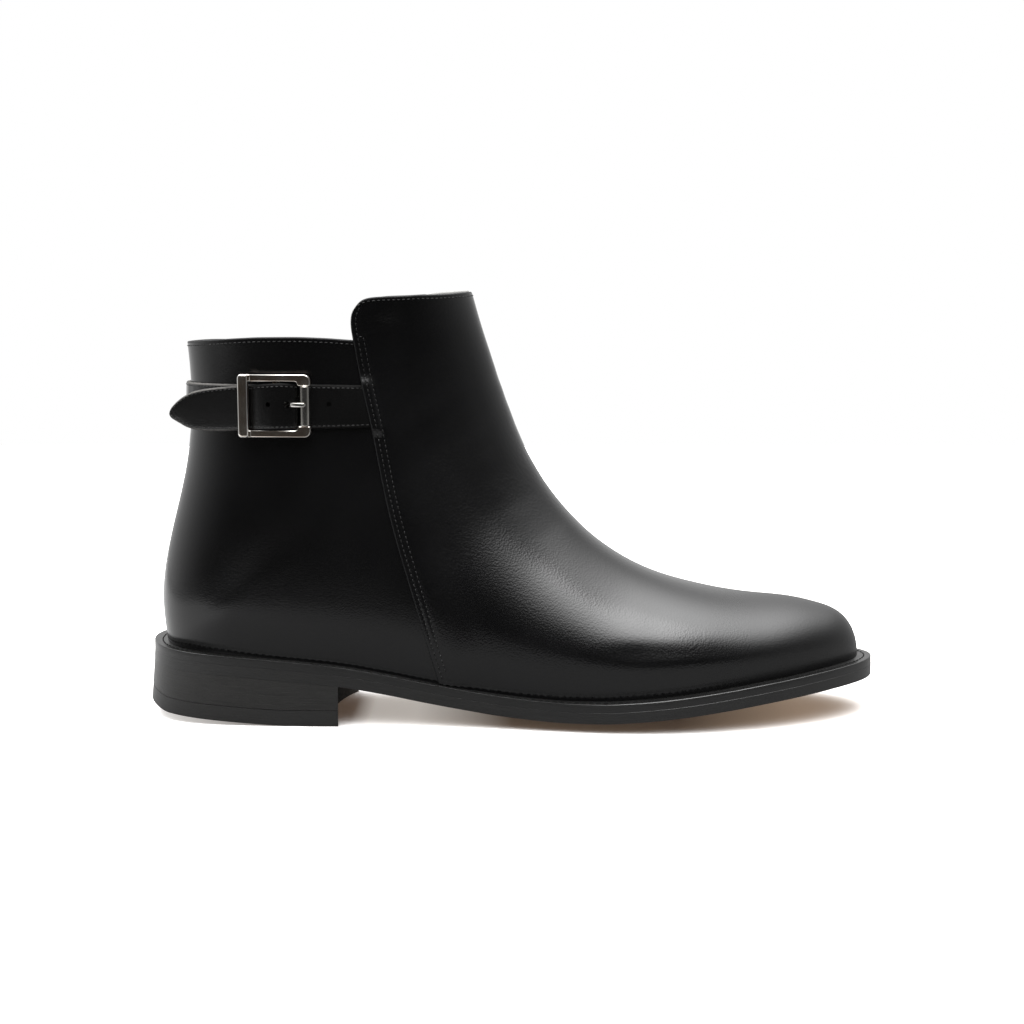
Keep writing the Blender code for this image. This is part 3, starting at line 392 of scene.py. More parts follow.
def skin_at(st, q, side):
    """Point of the outer face at q mm up the section's line; side 0 outer, 1 inner."""
    lx, lz, tx, tz, front, peak, ridge, wl, wm = np.moveaxis(st, -1, 0)
    tall = np.maximum(np.hypot(tx - lx, tz - lz), 1e-6)
    front = np.clip(front, 0.02 * tall, 0.98 * tall)
    q = np.clip(q, 0, tall)
    x, z = lx + (tx - lx) * q / tall, lz + (tz - lz) * q / tall
    t = np.clip((q - tall + front) / front, 0, 1)
    shape = np.clip(1 - t ** peak, 0, 1) ** 0.5
    back = heel_close(x, z)
    tuck = np.clip(1 - (z - welt_top(x) - GAP) / tuck_h(x), 0, 1) ** TUCK_EASE
    wide = (wl, wm)[side]
    y = ridge * (1 - shape) + BACK_Y * shape + (wide - BACK_Y) * shape * back
    y = y + (1, -1)[side] * np.interp(x, tuck_rows[:, 0], tuck_rows[:, 1 + side]) * tuck
    return np.stack([x, y, z], axis=-1)


def skin_s(s, frac, side):
    """Outer face by station and fraction of the section's line."""
    s, frac = np.broadcast_arrays(np.asarray(s, float), np.asarray(frac, float))
    st = np.stack([np.interp(s, SS, ST[:, k]) for k in range(9)], axis=-1)
    tall = np.hypot(st[..., 2] - st[..., 0], st[..., 3] - st[..., 1])
    return skin_at(st, frac * tall, side)


def skin(x, z, side):
    """Outer face by its place in the side view."""
    x, z = np.broadcast_arrays(np.asarray(x, float), np.asarray(z, float))

    def off(k):
        r = ST[k]
        return (r[..., 2] - r[..., 0]) * (z - r[..., 1]) - (r[..., 3] - r[..., 1]) * (x - r[..., 0])
    lo = np.zeros(x.shape, int)
    hi = np.full(x.shape, len(SS) - 1)
    for _ in range(12):
        m = (lo + hi) // 2
        up = off(m) > 0
        lo, hi = np.where(up, m, lo), np.where(up, hi, m)
    hi = np.maximum(hi, lo + 1)
    f0, f1 = off(lo), off(hi)
    a = np.clip(f0 / np.where(np.abs(f0 - f1) < 1e-12, 1e-12, f0 - f1), 0, 1)[..., None]
    st = ST[lo] * (1 - a) + ST[hi] * a
    dx, dz = st[..., 2] - st[..., 0], st[..., 3] - st[..., 1]
    tall = np.maximum(np.hypot(dx, dz), 1e-6)
    q = ((x - st[..., 0]) * dx + (z - st[..., 1]) * dz) / tall
    return skin_at(st, q, side)


def out(p):
    p = np.asarray(p, float)
    return np.stack([(p[..., 0] - SOLE_LENGTH / 2) * MM, p[..., 1] * MM, p[..., 2] * MM], axis=-1)


# --------------------------------------------------------------- mesh makers
def make(name, verts, faces, mats, index=None, uv=None, smooth_faces=True, fix=True):
    """One mesh object from millimetre vertices; uv is a pair a vertex."""
    me = bpy.data.meshes.new(name)
    me.from_pydata(out(verts).tolist(), [], [list(map(int, f)) for f in faces])
    for m in mats if isinstance(mats, (list, tuple)) else [mats]:
        me.materials.append(m)
    if index is not None:
        me.polygons.foreach_set("material_index", np.asarray(index, np.int32))
    if uv is not None:
        layer = me.uv_layers.new(name="UVMap")
        loops = np.zeros(len(me.loops), np.int32)
        me.loops.foreach_get("vertex_index", loops)
        layer.data.foreach_set("uv", np.asarray(uv, np.float32)[loops].ravel())
    if fix:
        bm = bmesh.new()
        bm.from_mesh(me)
        bmesh.ops.recalc_face_normals(bm, faces=bm.faces)
        bm.to_mesh(me)
        bm.free()
    me.polygons.foreach_set("use_smooth", [smooth_faces] * len(me.polygons))
    me.update()
    ob = bpy.data.objects.new(name, me)
    scene.collection.objects.link(ob)
    return ob


def sharp(ob, degrees=40.0):
    """Keep edges sharper than this crisp under smooth shading."""
    me = ob.data
    bm = bmesh.new()
    bm.from_mesh(me)
    lim = math.radians(degrees)
    for e in bm.edges:
        if len(e.link_faces) == 2 and e.calc_face_angle(0.0) > lim:
            e.smooth = False
    bm.to_mesh(me)
    bm.free()
    return ob


def shell_grid(name, O, I, mats, rings=3, uv=None):
    """Closed sheet between two grids, its rim rounded.  Outer faces take
    material 0, inner faces 1 and the rim 2 (or the last one there is)."""
    R, C = O.shape[:2]
    n = R * C
    verts = [O.reshape(-1, 3), I.reshape(-1, 3)]
    faces, index = [], []
    last = len(mats) - 1
    idx = np.arange(n).reshape(R, C)
    q = np.stack([idx[:-1, :-1], idx[:-1, 1:], idx[1:, 1:], idx[1:, :-1]], axis=-1).reshape(-1, 4)
    faces += q.tolist()
    index += [0] * len(q)
    faces += (q[:, ::-1] + n).tolist()
    index += [min(1, last)] * len(q)
    loop = [(0, c) for c in range(C)] + [(r, C - 1) for r in range(1, R)]
    loop += [(R - 1, c) for c in range(C - 2, -1, -1)] + [(r, 0) for r in range(R - 2, 0, -1)]
    L = len(loop)
    rr = np.array([p[0] for p in loop])
    cc = np.array([p[1] for p in loop])
    r2 = np.clip(rr, 1, R - 2)
    c2 = np.clip(cc, 1, C - 2)
    a, b = O[rr, cc], I[rr, cc]
    mid, arm = 0.5 * (a + b), 0.5 * (a - b)
    e = 0.5 * (O[rr, cc] + I[rr, cc]) - 0.5 * (O[r2, c2] + I[r2, c2])
    e = e - arm * (np.sum(e * arm, axis=1) / np.maximum(np.sum(arm * arm, axis=1), 1e-9))[:, None]
    e = unit(e) * np.linalg.norm(arm, axis=1)[:, None]
    prev = idx[rr, cc]
    base = 2 * n
    for k in range(rings + 1):
        if k < rings:
            phi = math.pi * (k + 1) / (rings + 1)
            verts.append(mid + arm * math.cos(phi) + e * math.sin(phi))
            cur = base + np.arange(L)
            base += L
        else:
            cur = idx[rr, cc] + n
        for i in range(L):
            j = (i + 1) % L
            faces.append([prev[i], cur[i], cur[j], prev[j]])
        index += [last] * L
        prev = cur
    return make(name, np.vstack(verts), faces, mats, index)


def stitch_row(paths, pitch, length, r, lift=0.0, sides=6):
    """Thread capsules along polylines on a surface: (points, normals) each."""
    V, F = [], []
    shape = ((-0.5, 0.55, -0.55), (-0.40, 0.9, 0.05), (-0.15, 1.0, 0.35), (0.15, 1.0, 0.35), (0.40, 0.9, 0.05), (0.5, 0.55, -0.55))
    base = 0
    for pts, nor in paths:
        pts, nor = np.asarray(pts), np.asarray(nor)
        d = np.r_[0, np.cumsum(np.linalg.norm(np.diff(pts, axis=0), axis=1))]
        count = max(int(round(d[-1] / pitch)), 1)
        real = d[-1] / count

        def at(q):
            p = np.array([np.interp(q, d, pts[:, k]) for k in range(3)])
            m = np.array([np.interp(q, d, nor[:, k]) for k in range(3)])
            return p, m / np.linalg.norm(m)
        for i in range(count):
            c = (i + 0.5) * real
            p0, m0 = at(c - 0.3 * length)
            p1, m1 = at(c + 0.3 * length)
            t = unit(p1 - p0)
            mid_p, mid_n = at(c)
            mid_n = unit(mid_n - t * np.dot(mid_n, t))
            b = np.cross(t, mid_n)
            for f, rad, up in shape:
                o, on = at(c + f * length)
                o = o + mid_n * (up * r + lift)
                for k in range(sides):
                    a = 2 * math.pi * k / sides
                    V.append(o + (b * math.cos(a) + mid_n * math.sin(a)) * r * rad)
            n = len(shape)
            for j in range(n - 1):
                for k in range(sides):
                    m = (k + 1) % sides
                    F.append([base + j * sides + k, base + j * sides + m, base + (j + 1) * sides + m, base + (j + 1) * sides + k])
            F.append([base + k for k in range(sides)][::-1])
            F.append([base + (n - 1) * sides + k for k in range(sides)])
            base += n * sides
    return V, F


# ----------------------------------------------------------------- materials
def new_mat(name):
    m = bpy.data.materials.new(name)
    m.use_nodes = True
    nt = m.node_tree
    return m, nt, nt.nodes["Principled BSDF"]


def node(nt, kind, **sets):
    n = nt.nodes.new(kind)
    for k, v in sets.items():
        if k in n.inputs:
            n.inputs[k].default_value = v
        else:
            setattr(n, k, v)
    return n


def ramp(nt, src, stops):
    r = nt.nodes.new("ShaderNodeValToRGB")
    el = r.color_ramp.elements
    while len(el) < len(stops):
        el.new(0.5)
    for e, (p, c) in zip(el, stops):
        e.position = p
        e.color = (*c, 1.0) if len(c) == 3 else c
    nt.links.new(src, r.inputs["Fac"])
    return r.outputs["Color"]


def spread(nt, src, lo, hi):
    r = nt.nodes.new("ShaderNodeMapRange")
    r.inputs["To Min"].default_value = lo
    r.inputs["To Max"].default_value = hi
    nt.links.new(src, r.inputs["Value"])
    return r.outputs["Result"]


def coords(nt, scale=(1, 1, 1), rot=(0, 0, 0), which="Object"):
    t = nt.nodes.new("ShaderNodeTexCoord")
    m = nt.nodes.new("ShaderNodeMapping")
    m.inputs["Scale"].default_value = scale
    m.inputs["Rotation"].default_value = rot
    nt.links.new(t.outputs[which], m.inputs["Vector"])
    return m.outputs["Vector"]


def noise(nt, vec, scale, detail=2.0, rough=0.5):
    n = node(nt, "ShaderNodeTexNoise", Scale=scale, Detail=detail, Roughness=rough)
    nt.links.new(vec, n.inputs["Vector"])
    return n.outputs["Fac"]


def bump(nt, height, strength, distance, after=None):
    b = node(nt, "ShaderNodeBump", Strength=strength, Distance=distance)
    nt.links.new(height, b.inputs["Height"])
    if after is not None:
        nt.links.new(after, b.inputs["Normal"])
    return b.outputs["Normal"]


def leather(name, dark, light, rough, coat, grain=1.0, bend=None, toe=None):
    """Polished calf: fine pebbled grain and uneven polish; bend is the middle
    and reach (m) of a patch of fine flex strokes, toe the x (m) where the
    polish starts to get softer, where it is softest, and by how much."""
    m, nt, b = new_mat(name)
    v = coords(nt)
    cell = node(nt, "ShaderNodeTexVoronoi", Scale=1350.0)
    cell.feature = "SMOOTH_F1"
    cell.inputs["Smoothness"].default_value = 0.4
    away = nt.nodes.new("ShaderNodeVectorMath")
    away.inputs[1].default_value = (0.56, 0.61, 0.57)
    nt.links.new(v, away.inputs[0])
    nt.links.new(away.outputs["Vector"], cell.inputs["Vector"])
    fine = noise(nt, away.outputs["Vector"], 2400.0, 2.0, 0.6)
    wave = noise(nt, v, 70.0, 1.0, 0.5)
    patch = noise(nt, v, 28.0, 2.0, 0.5)
    n1 = bump(nt, wave, 0.016, 0.0012)
    n2 = bump(nt, cell.outputs["Distance"], 0.20 * grain, 0.00020, n1)
    n4 = bump(nt, fine, 0.16 * grain, 0.00012, n2)
    if bend is not None:
        centre, reach = bend
        turn = nt.nodes.new("ShaderNodeMapping")
        turn.vector_type = "TEXTURE"
        turn.inputs["Rotation"].default_value = (0.0, -0.56, 0.0)
        turn.inputs["Scale"].default_value = (1 / 1300.0, 1 / 500.0, 1 / 380.0)
        nt.links.new(v, turn.inputs["Vector"])
        stroke = noise(nt, turn.outputs["Vector"], 1.0, 2.0, 0.55)
        far = nt.nodes.new("ShaderNodeVectorMath")
        far.operation = "DISTANCE"
        far.inputs[1].default_value = centre
        nt.links.new(v, far.inputs[0])
        near = nt.nodes.new("ShaderNodeMapRange")
        near.interpolation_type = "SMOOTHSTEP"
        near.inputs["From Min"].default_value = reach
        near.inputs["From Max"].default_value = 0.25 * reach
        nt.links.new(far.outputs["Value"], near.inputs["Value"])
        both = node(nt, "ShaderNodeMath", operation="MULTIPLY")
        nt.links.new(stroke, both.inputs[0])
        nt.links.new(near.outputs["Result"], both.inputs[1])
        n4 = bump(nt, both.outputs[0], 0.50, 0.00022, n4)
    nt.links.new(n4, b.inputs["Normal"])
    nt.links.new(ramp(nt, patch, ((0.30, dark), (0.75, light))), b.inputs["Base Color"])
    gloss = spread(nt, patch, rough - 0.04, rough + 0.05)
    if toe is not None:
        xyz = nt.nodes.new("ShaderNodeSeparateXYZ")
        nt.links.new(v, xyz.inputs["Vector"])
        soft = nt.nodes.new("ShaderNodeMapRange")
        soft.interpolation_type = "SMOOTHSTEP"
        for key, value in (("From Min", toe[0]), ("From Max", toe[1]), ("To Min", -0.11), ("To Max", toe[2] - 0.11)):
            soft.inputs[key].default_value = value
        nt.links.new(xyz.outputs["X"], soft.inputs["Value"])
        both = node(nt, "ShaderNodeMath", operation="ADD")
        nt.links.new(gloss, both.inputs[0])
        nt.links.new(soft.outputs["Result"], both.inputs[1])
        speck = node(nt, "ShaderNodeMath", operation="MULTIPLY_ADD")     # the polish varies from pore to pore
        nt.links.new(fine, speck.inputs[0])
        speck.inputs[1].default_value = 0.22
        nt.links.new(both.outputs[0], speck.inputs[2])
        gloss = speck.outputs[0]
    nt.links.new(gloss, b.inputs["Roughness"])
    b.inputs["Specular IOR Level"].default_value = 0.5
    b.inputs["Coat Weight"].default_value = coat
    b.inputs["Coat Roughness"].default_value = 0.30
    nt.links.new(n1, b.inputs["Coat Normal"])
    return m


BLACK = leather("upper_black", (0.0008, 0.0008, 0.0009), (0.0016, 0.0016, 0.0018), 0.20, 0.0, 0.45)
BLACK_FRONT = leather("front_black", (0.0008, 0.0008, 0.0009), (0.0016, 0.0016, 0.0018), 0.20, 0.0, 1.0, ((0.008, 0.0, 0.100), 0.044), (0.066, 0.116, 0.16))
BLACK_STRAP = leather("strap_black", (0.0009, 0.0009, 0.0009), (0.0018, 0.0018, 0.0018), 0.24, 0.0, 0.8)


def cut_edge(name, colour, rough, painted_glint=None, shine=0.5):
    """Painted or burnished cut edge of leather: fibres along the edge; the last argument is the x (m) where a lighter
    edge colour, a painted highlight, starts, where it is full, and that colour."""
    m, nt, b = new_mat(name)
    v = coords(nt)
    f = noise(nt, v, 900.0, 3.0, 0.6)
    ink = ramp(nt, f, ((0.25, tuple(c * 0.6 for c in colour)), (0.8, tuple(c * 1.5 for c in colour))))
    # painted highlight: the edge's colour turns lighter past these x
    if painted_glint is not None:
        glint_ink = ramp(nt, f, ((0.25, tuple(c * 0.7 for c in painted_glint[2])), (0.8, tuple(c * 1.3 for c in painted_glint[2]))))
        xyz = nt.nodes.new("ShaderNodeSeparateXYZ")
        nt.links.new(v, xyz.inputs["Vector"])
        glint_reach = nt.nodes.new("ShaderNodeMapRange")
        glint_reach.interpolation_type = "SMOOTHSTEP"
        glint_reach.inputs["From Min"].default_value = painted_glint[0]
        glint_reach.inputs["From Max"].default_value = painted_glint[1]
        nt.links.new(xyz.outputs["X"], glint_reach.inputs["Value"])
        blend = nt.nodes.new("ShaderNodeMix")
        blend.data_type = "RGBA"
        nt.links.new(glint_reach.outputs["Result"], blend.inputs["Factor"])
        nt.links.new(ink, blend.inputs["A"])
        nt.links.new(glint_ink, blend.inputs["B"])
        ink = blend.outputs["Result"]
    nt.links.new(ink, b.inputs["Base Color"])
    nt.links.new(bump(nt, f, 0.3, 0.0002), b.inputs["Normal"])
    b.inputs["Roughness"].default_value = rough
    b.inputs["Specular IOR Level"].default_value = shine
    return m


EDGE_PAINT = cut_edge("edge_paint", (0.0065, 0.0065, 0.0068), 0.5, None, 0.22)
# strap edges turn lighter towards the tip: a painted highlight
EDGE_STRAP = cut_edge("strap_edge", (0.0048, 0.0047, 0.0046), 0.65, (-0.098, -0.120, (0.095, 0.092, 0.088)), 0.06)


def tan_leather(name, dark, light, rough, pore=700.0):
    m, nt, b = new_mat(name)
    v = coords(nt)
    big = noise(nt, v, 60.0, 4.0, 0.6)
    fine = noise(nt, v, pore, 3.0, 0.6)
    nt.links.new(ramp(nt, big, ((0.3, dark), (0.7, light))), b.inputs["Base Color"])
    nt.links.new(bump(nt, fine, 0.25, 0.0002), b.inputs["Normal"])
    nt.links.new(spread(nt, fine, rough - 0.08, rough + 0.08), b.inputs["Roughness"])
    return m


LINING = tan_leather("lining_leather", (0.43, 0.38, 0.315), (0.54, 0.49, 0.42), 0.58)
LINING_EDGE = tan_leather("lining_edge", (0.18, 0.178, 0.172), (0.24, 0.237, 0.23), 0.7)
FOOTBED = tan_leather("footbed_leather", (0.33, 0.215, 0.12), (0.45, 0.31, 0.185), 0.55)
SOLE_TAN = tan_leather("sole_leather", (0.42, 0.235, 0.105), (0.56, 0.335, 0.165), 0.48, 420.0)


def sole_side(name, dark, light, rough, lines=0.5):
    """Inked and burnished sole edge: streaks that run round the shoe (UV in mm)."""
    m, nt, b = new_mat(name)
    v = coords(nt, (0.045, 2.4, 1.0), which="UV")
    streak = noise(nt, v, 1.0, 4.0, 0.62)
    v2 = coords(nt, (0.5, 0.9, 1.0), which="UV")
    spot = noise(nt, v2, 0.35, 3.0, 0.6)
    fine = noise(nt, coords(nt, (0.5, 9.0, 1.0), which="UV"), 1.0, 2.0, 0.6)
    mix = node(nt, "ShaderNodeMath", operation="MULTIPLY")
    nt.links.new(streak, mix.inputs[0])
    nt.links.new(spread(nt, spot, 0.7, 1.3), mix.inputs[1])
    nt.links.new(ramp(nt, mix.outputs[0], ((0.28, dark), (0.72, light))), b.inputs["Base Color"])
    n1 = bump(nt, streak, lines, 0.00025)
    n2 = bump(nt, fine, 0.25, 0.0001, n1)
    nt.links.new(n2, b.inputs["Normal"])
    nt.links.new(spread(nt, streak, rough - 0.07, rough + 0.10), b.inputs["Roughness"])
    b.inputs["Specular IOR Level"].default_value = 0.62
    return m


WELT_MAT = sole_side("welt_black", (0.0026, 0.0026, 0.0025), (0.0052, 0.0051, 0.0050), 0.31, 0.22)
EDGE_MAT = sole_side("outsole_edge", (0.0034, 0.0033, 0.0032), (0.0072, 0.0070, 0.0067), 0.33, 0.32)
STACK_MAT = sole_side("heel_stack", (0.0040, 0.0038, 0.0035), (0.0105, 0.0100, 0.0092), 0.35, 0.45)
TOP_MAT = sole_side("top_piece", (0.0038, 0.0036, 0.0034), (0.0080, 0.0077, 0.0073), 0.40, 0.25)
BREAST_MAT = cut_edge("heel_breast", (0.090, 0.085, 0.077), 0.80, None, 0.15)


def thread_mat(name, colour, rough=0.42, shine=0.3):
    """Waxed thread; some stitches duller than others."""
    m, nt, b = new_mat(name)
    v = coords(nt, (1.0, 1.0, 1.0), (0.6, 0.4, 0.3))
    w = noise(nt, v, 2600.0, 1.0, 0.5)
    dull = noise(nt, v, 340.0, 1.0, 0.5)
    nt.links.new(ramp(nt, dull, ((0.36, tuple(c * 0.25 for c in colour)), (0.68, tuple(c * 2.2 for c in colour)))), b.inputs["Base Color"])
    nt.links.new(bump(nt, w, 0.4, 0.0002), b.inputs["Normal"])
    nt.links.new(spread(nt, dull, rough + 0.25, rough - 0.15), b.inputs["Roughness"])
    b.inputs["Specular IOR Level"].default_value = shine
    return m


THREAD = thread_mat("thread_black", (0.0055, 0.0054, 0.0053))
THREAD_WELT = thread_mat("thread_welt", (0.0015, 0.0015, 0.0015), 0.65, 0.1)


def metal(name, colour, rough, brush, dark=None):
    m, nt, b = new_mat(name)
    v = coords(nt, brush)
    f = noise(nt, v, 1.0, 3.0, 0.6)
    big = noise(nt, coords(nt), 150.0, 2.0, 0.5)
    nt.links.new(ramp(nt, big, ((0.3, dark or tuple(c * 0.93 for c in colour)), (0.7, colour))), b.inputs["Base Color"])
    nt.links.new(bump(nt, f, 0.05, 0.0001), b.inputs["Normal"])
    nt.links.new(spread(nt, f, rough - 0.03, rough + 0.05), b.inputs["Roughness"])
    b.inputs["Metallic"].default_value = 1.0
    return m


NICKEL = metal("buckle_nickel", (0.72, 0.65, 0.57), 0.12, (500.0, 500.0, 2500.0), (0.47, 0.365, 0.275))
# darker, rougher copy of the nickel for the bars' sides and backs: painted shade
NICKEL_PAINTED_SHADE = metal("buckle_sides_painted_shade", (0.24, 0.21, 0.185), 0.42, (500.0, 500.0, 2500.0))
# lighter, glossier copy of the nickel for the rims: painted highlight
NICKEL_PAINTED_HIGHLIGHT = metal("buckle_rims_painted_highlight", (0.84, 0.82, 0.785), 0.10, (500.0, 500.0, 2500.0))
ROLLER_MAT = metal("roller_nickel", (0.36, 0.35, 0.325), 0.20, (3000.0, 3000.0, 300.0))
PRONG_MAT = metal("prong_nickel", (0.70, 0.68, 0.65), 0.13, (900.0, 900.0, 900.0))
HOLE_MAT = cut_edge("hole_dark", (0.006, 0.006, 0.006), 0.7)

pieces = []


def done(ob, slot, *nodes):
    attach(ob, "root")
    if nodes:
        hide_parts(*nodes)
    pieces.append(ob)
    return ob


# ---------------------------------------------------------------- front panel
seam_at, SEAM_LEN = line_of(SEAM)
front_at, _l = line_of(FRONT_TOP)


def find(f, target, lo, hi):
    for _ in range(60):
        m = 0.5 * (lo + hi)
        if (f(m) - target) * (f(lo) - target) <= 0:
            hi = m
        else:
            lo = m
    return 0.5 * (lo + hi)


S_A = find(lambda s: float(low_open(s)), SEAM[0][0], 0.0, S_HEEL)
S_END = find(lambda s: float(top_of(s)[1]), FRONT_TOP[-1][1], S_ROW[20], S_ROW[28])
N_TOE, N_SHAFT, N_DENSE = 112, 116, 420
NEAR = np.array([0, 0.25, 0.55, 0.9, 1.25, 1.55, 1.85, 2.2, 2.7, 3.15, 3.5, 3.75, 4.0, 4.35, 4.9, 5.7, 6.8, 8.2, 9.9, 11.9])
N_FAR = 44
grow = np.linspace(0, 1, N_DENSE)
tau = 1 - (1 - grow) ** 2

toe_s = S_A * np.r_[(np.arange(1, 26) / 25.0) ** 2 * 0.09, np.linspace(0.09, 1.0, N_TOE - 24)[1:]]
v_rows = np.linspace(0, 1, N_SHAFT + 1)[1:]
v_rows = v_rows + 0.0


def half_row_points(kind, val, side):
    if kind == "toe":
        return skin_s(np.full(N_DENSE, val), tau, side)
    b = seam_at(val)
    r = top_of(S_A + (S_END - S_A) * val)
    chord = b + (r - b) * tau[:, None]
    c0, c1 = front_at(0.0), front_at(1.0)
    arch = front_at(tau) - (c0 + (c1 - c0) * tau[:, None])
    side_view = chord + arch * float(smooth((val - 0.72) / 0.28))
    return skin(side_view[:, 0], side_view[:, 1], side)


def spaced(P):
    """Resample a half row: fine columns next to its edge, even ones beyond."""
    d = np.r_[0, np.cumsum(np.linalg.norm(np.diff(P, axis=0), axis=1))]
    k = min(1.0, d[-1] / 46.0)
    near = NEAR * k
    far = near[-1] + (d[-1] - near[-1]) * np.linspace(0, 1, N_FAR + 1)[1:]
    first = (near[-1] - near[-2])
    even = (d[-1] - near[-1]) / N_FAR
    u = np.linspace(0, 1, N_FAR + 1)[1:]
    if even > first:
        far = near[-1] + (d[-1] - near[-1]) * u
    q = np.r_[near, far]
    return np.stack([np.interp(q, d, P[:, j]) for j in range(3)], axis=-1), q


rows = [("toe", s) for s in toe_s] + [("shaft", v) for v in v_rows]
G, DL, SIN, KIND = [], [], [], []
for kind, val in rows:
    half, dist = [], []
    for side in (0, 1):
        p, q = spaced(half_row_points(kind, val, side))
        half.append(p)
        dist.append(q)
    mid_ridge = 0.5 * (half[0][-1] + half[1][-1])
    half[0][-1] = half[1][-1] = mid_ridge
    G.append(np.vstack([half[0], half[1][::-1][1:]]))
    DL.append(np.r_[dist[0], dist[1][::-1][1:]])
G = np.array(G)
DL = np.array(DL)
N_ROW, N_COL = G.shape[:2]
MIDC = N_COL // 2
SHAFT0 = len(toe_s) - 1            # row that stands on the seam's foot
ANK_REF = np.array([80.0, 0.0, 60.0])
NRM = unit(np.cross(np.gradient(G, axis=0), np.gradient(G, axis=1)))
NRM *= np.sign(np.sum(NRM * (G - np.array([150.0, 0.0, 30.0])), axis=-1).mean())


def from_line(P, line):
    """Distance of points from a polyline."""
    best = np.full(P.shape[:-1], np.inf)
    for a, b in zip(line[:-1], line[1:]):
        d = b - a
        t = np.clip(((P - a) @ d) / max(float(d @ d), 1e-12), 0, 1)
        best = np.minimum(best, np.linalg.norm(P - a - t[..., None] * d, axis=-1))
    return best


DE = np.concatenate([from_line(G[:, :MIDC + 1], G[SHAFT0:, 0]), from_line(G[:, MIDC + 1:], G[SHAFT0:, -1])], axis=1)
ON_SHAFT = smooth((np.arange(N_ROW) - SHAFT0 + 10) / 10.0)[:, None]


def crease_depth(x, z):
    """Soft troughs set in the side view, with low ridges beside them."""
    total = np.zeros(x.shape)
    for depth, width, line in CREASES:
        f, length = line_of(line) if len(line) > 2 else line_of(line)
        u = np.linspace(0, 1, 60)
        pts = f(u)
        d2 = (x[..., None] - pts[:, 0]) ** 2 + (z[..., None] - pts[:, 1]) ** 2
        k = np.argmin(d2, axis=-1)
        d = np.sqrt(np.take_along_axis(d2, k[..., None], -1)[..., 0]) / width
        fade = smooth((1 - u[k]) / 0.55)
        total -= depth * fade * (np.exp(-d * d * 1.6) - 0.45 * np.exp(-(d - 1.7) ** 2 * 1.8))
    return total


strap_zone = smooth((12.8 - np.abs(G[..., 2] - STRAP_Z + 0.8)) / 4.2)
lift_edge = PROUD * (1 - smooth((DE - 5.5) / 15.0)) * ON_SHAFT
lift_strap = 1.15 * strap_zone * (1 - smooth((DE - 1.6) / 5.0)) * ON_SHAFT
groove = np.zeros_like(DE)
for q in (ROW_1, ROW_2):
    stop = 1.0 if q == ROW_1 else smooth((156.0 - G[..., 2]) / 3.0)
    groove -= 0.16 * np.exp(-((DE - q) / 0.42) ** 2) * ON_SHAFT * stop
# the side of the vamp stands up a little before it turns over to the top
fuller = 0.85 * smooth((G[..., 2] - 30.0) / 7.3) * (1 - smooth((G[..., 2] - 38.0) / 20.0))
fuller *= smooth((G[..., 0] - 179.0) / 23.0) * (1 - smooth((G[..., 0] - 226.0) / 28.0)) * (1 + 0.22 * np.exp(-((G[..., 0] - 217.0) / 11.0) ** 2))
LIFT = lift_edge + lift_strap + groove + fuller + crease_depth(G[..., 0], G[..., 2]) * smooth((G[..., 0] - 118.0) / 10.0)
FRONT_OUT = G + NRM * LIFT[..., None]
FRONT_IN = G + NRM * (LIFT - PANEL_T)[..., None]
for sheet in (FRONT_OUT, FRONT_IN):      # the front of the collar is cut a little lower than its lining
    sheet[-1, :, 2] -= 0.28 * smooth((G[-1, :, 0] - 112.0) / 12.0)
front = shell_grid("upper_front_panel", FRONT_OUT, FRONT_IN, [BLACK_FRONT, LINING, EDGE_PAINT])
done(front, "upper_leather", "upper")

# ------------------------------------------------------------------- quarter
back_top = monotone(BACK_TOP, 1)
seam_dense = seam_at(np.linspace(0, 1, 800))
seam_order = np.argsort(seam_dense[:, 1])


def seam_x(z):
    return np.interp(z, seam_dense[seam_order, 1], seam_dense[seam_order, 0])


N_V, N_U = 120, 74
QG = []
for v in np.linspace(0, 1, N_V + 1):
    def z_of(x, side=0):
        foot = welt_top(np.maximum(x, FE_X0)) + GAP
        return foot + (back_top(x) - side * INNER_DROP * smooth((x - 18.0) / 30.0) - foot) * v
    xb = FE_X0
    for _ in range(30):
        xb = float(back_x(max(float(z_of(xb)), ROWS[HEEL_ROW, 1]))) if z_of(xb) >= ROWS[HEEL_ROW, 1] else FE_X0
    xe = 100.0
    for _ in range(30):
        xe = float(seam_x(z_of(xe))) + OVERLAP
    xs = xb + (xe - xb) * (np.linspace(0, 1, 500) ** 2)
    half = []
    for side in (0, 1):
        P = skin(xs, z_of(xs, side), side)
        d = np.r_[0, np.cumsum(np.linalg.norm(np.diff(P, axis=0), axis=1))]
        q = np.linspace(0, d[-1], N_U + 1)
        half.append(np.stack([np.interp(q, d, P[:, j]) for j in range(3)], axis=-1))
    m0 = 0.5 * (half[0][0] + half[1][0])
    half[0][0] = half[1][0] = m0
    QG.append(np.vstack([half[0][::-1], half[1][1:]]))
QG = np.array(QG)
QN = unit(np.cross(np.gradient(QG, axis=0), np.gradient(QG, axis=1)))
QN *= np.sign(np.sum(QN * (QG - np.array([70.0, 0.0, 80.0])), axis=-1).mean())
BACKC = N_U
seam_back = -0.30 * np.exp(-((QG[..., 1] - BACK_Y) / 0.45) ** 2) * (QG[..., 0] < 30)
QUARTER_OUT = QG + QN * (seam_back - 0.03)[..., None]
QUARTER_IN = QG + QN * (-0.03 - PANEL_T)
quarter = shell_grid("upper_quarter", QUARTER_OUT, QUARTER_IN, [BLACK, LINING, EDGE_PAINT])
done(quarter, "upper_leather", "upper")

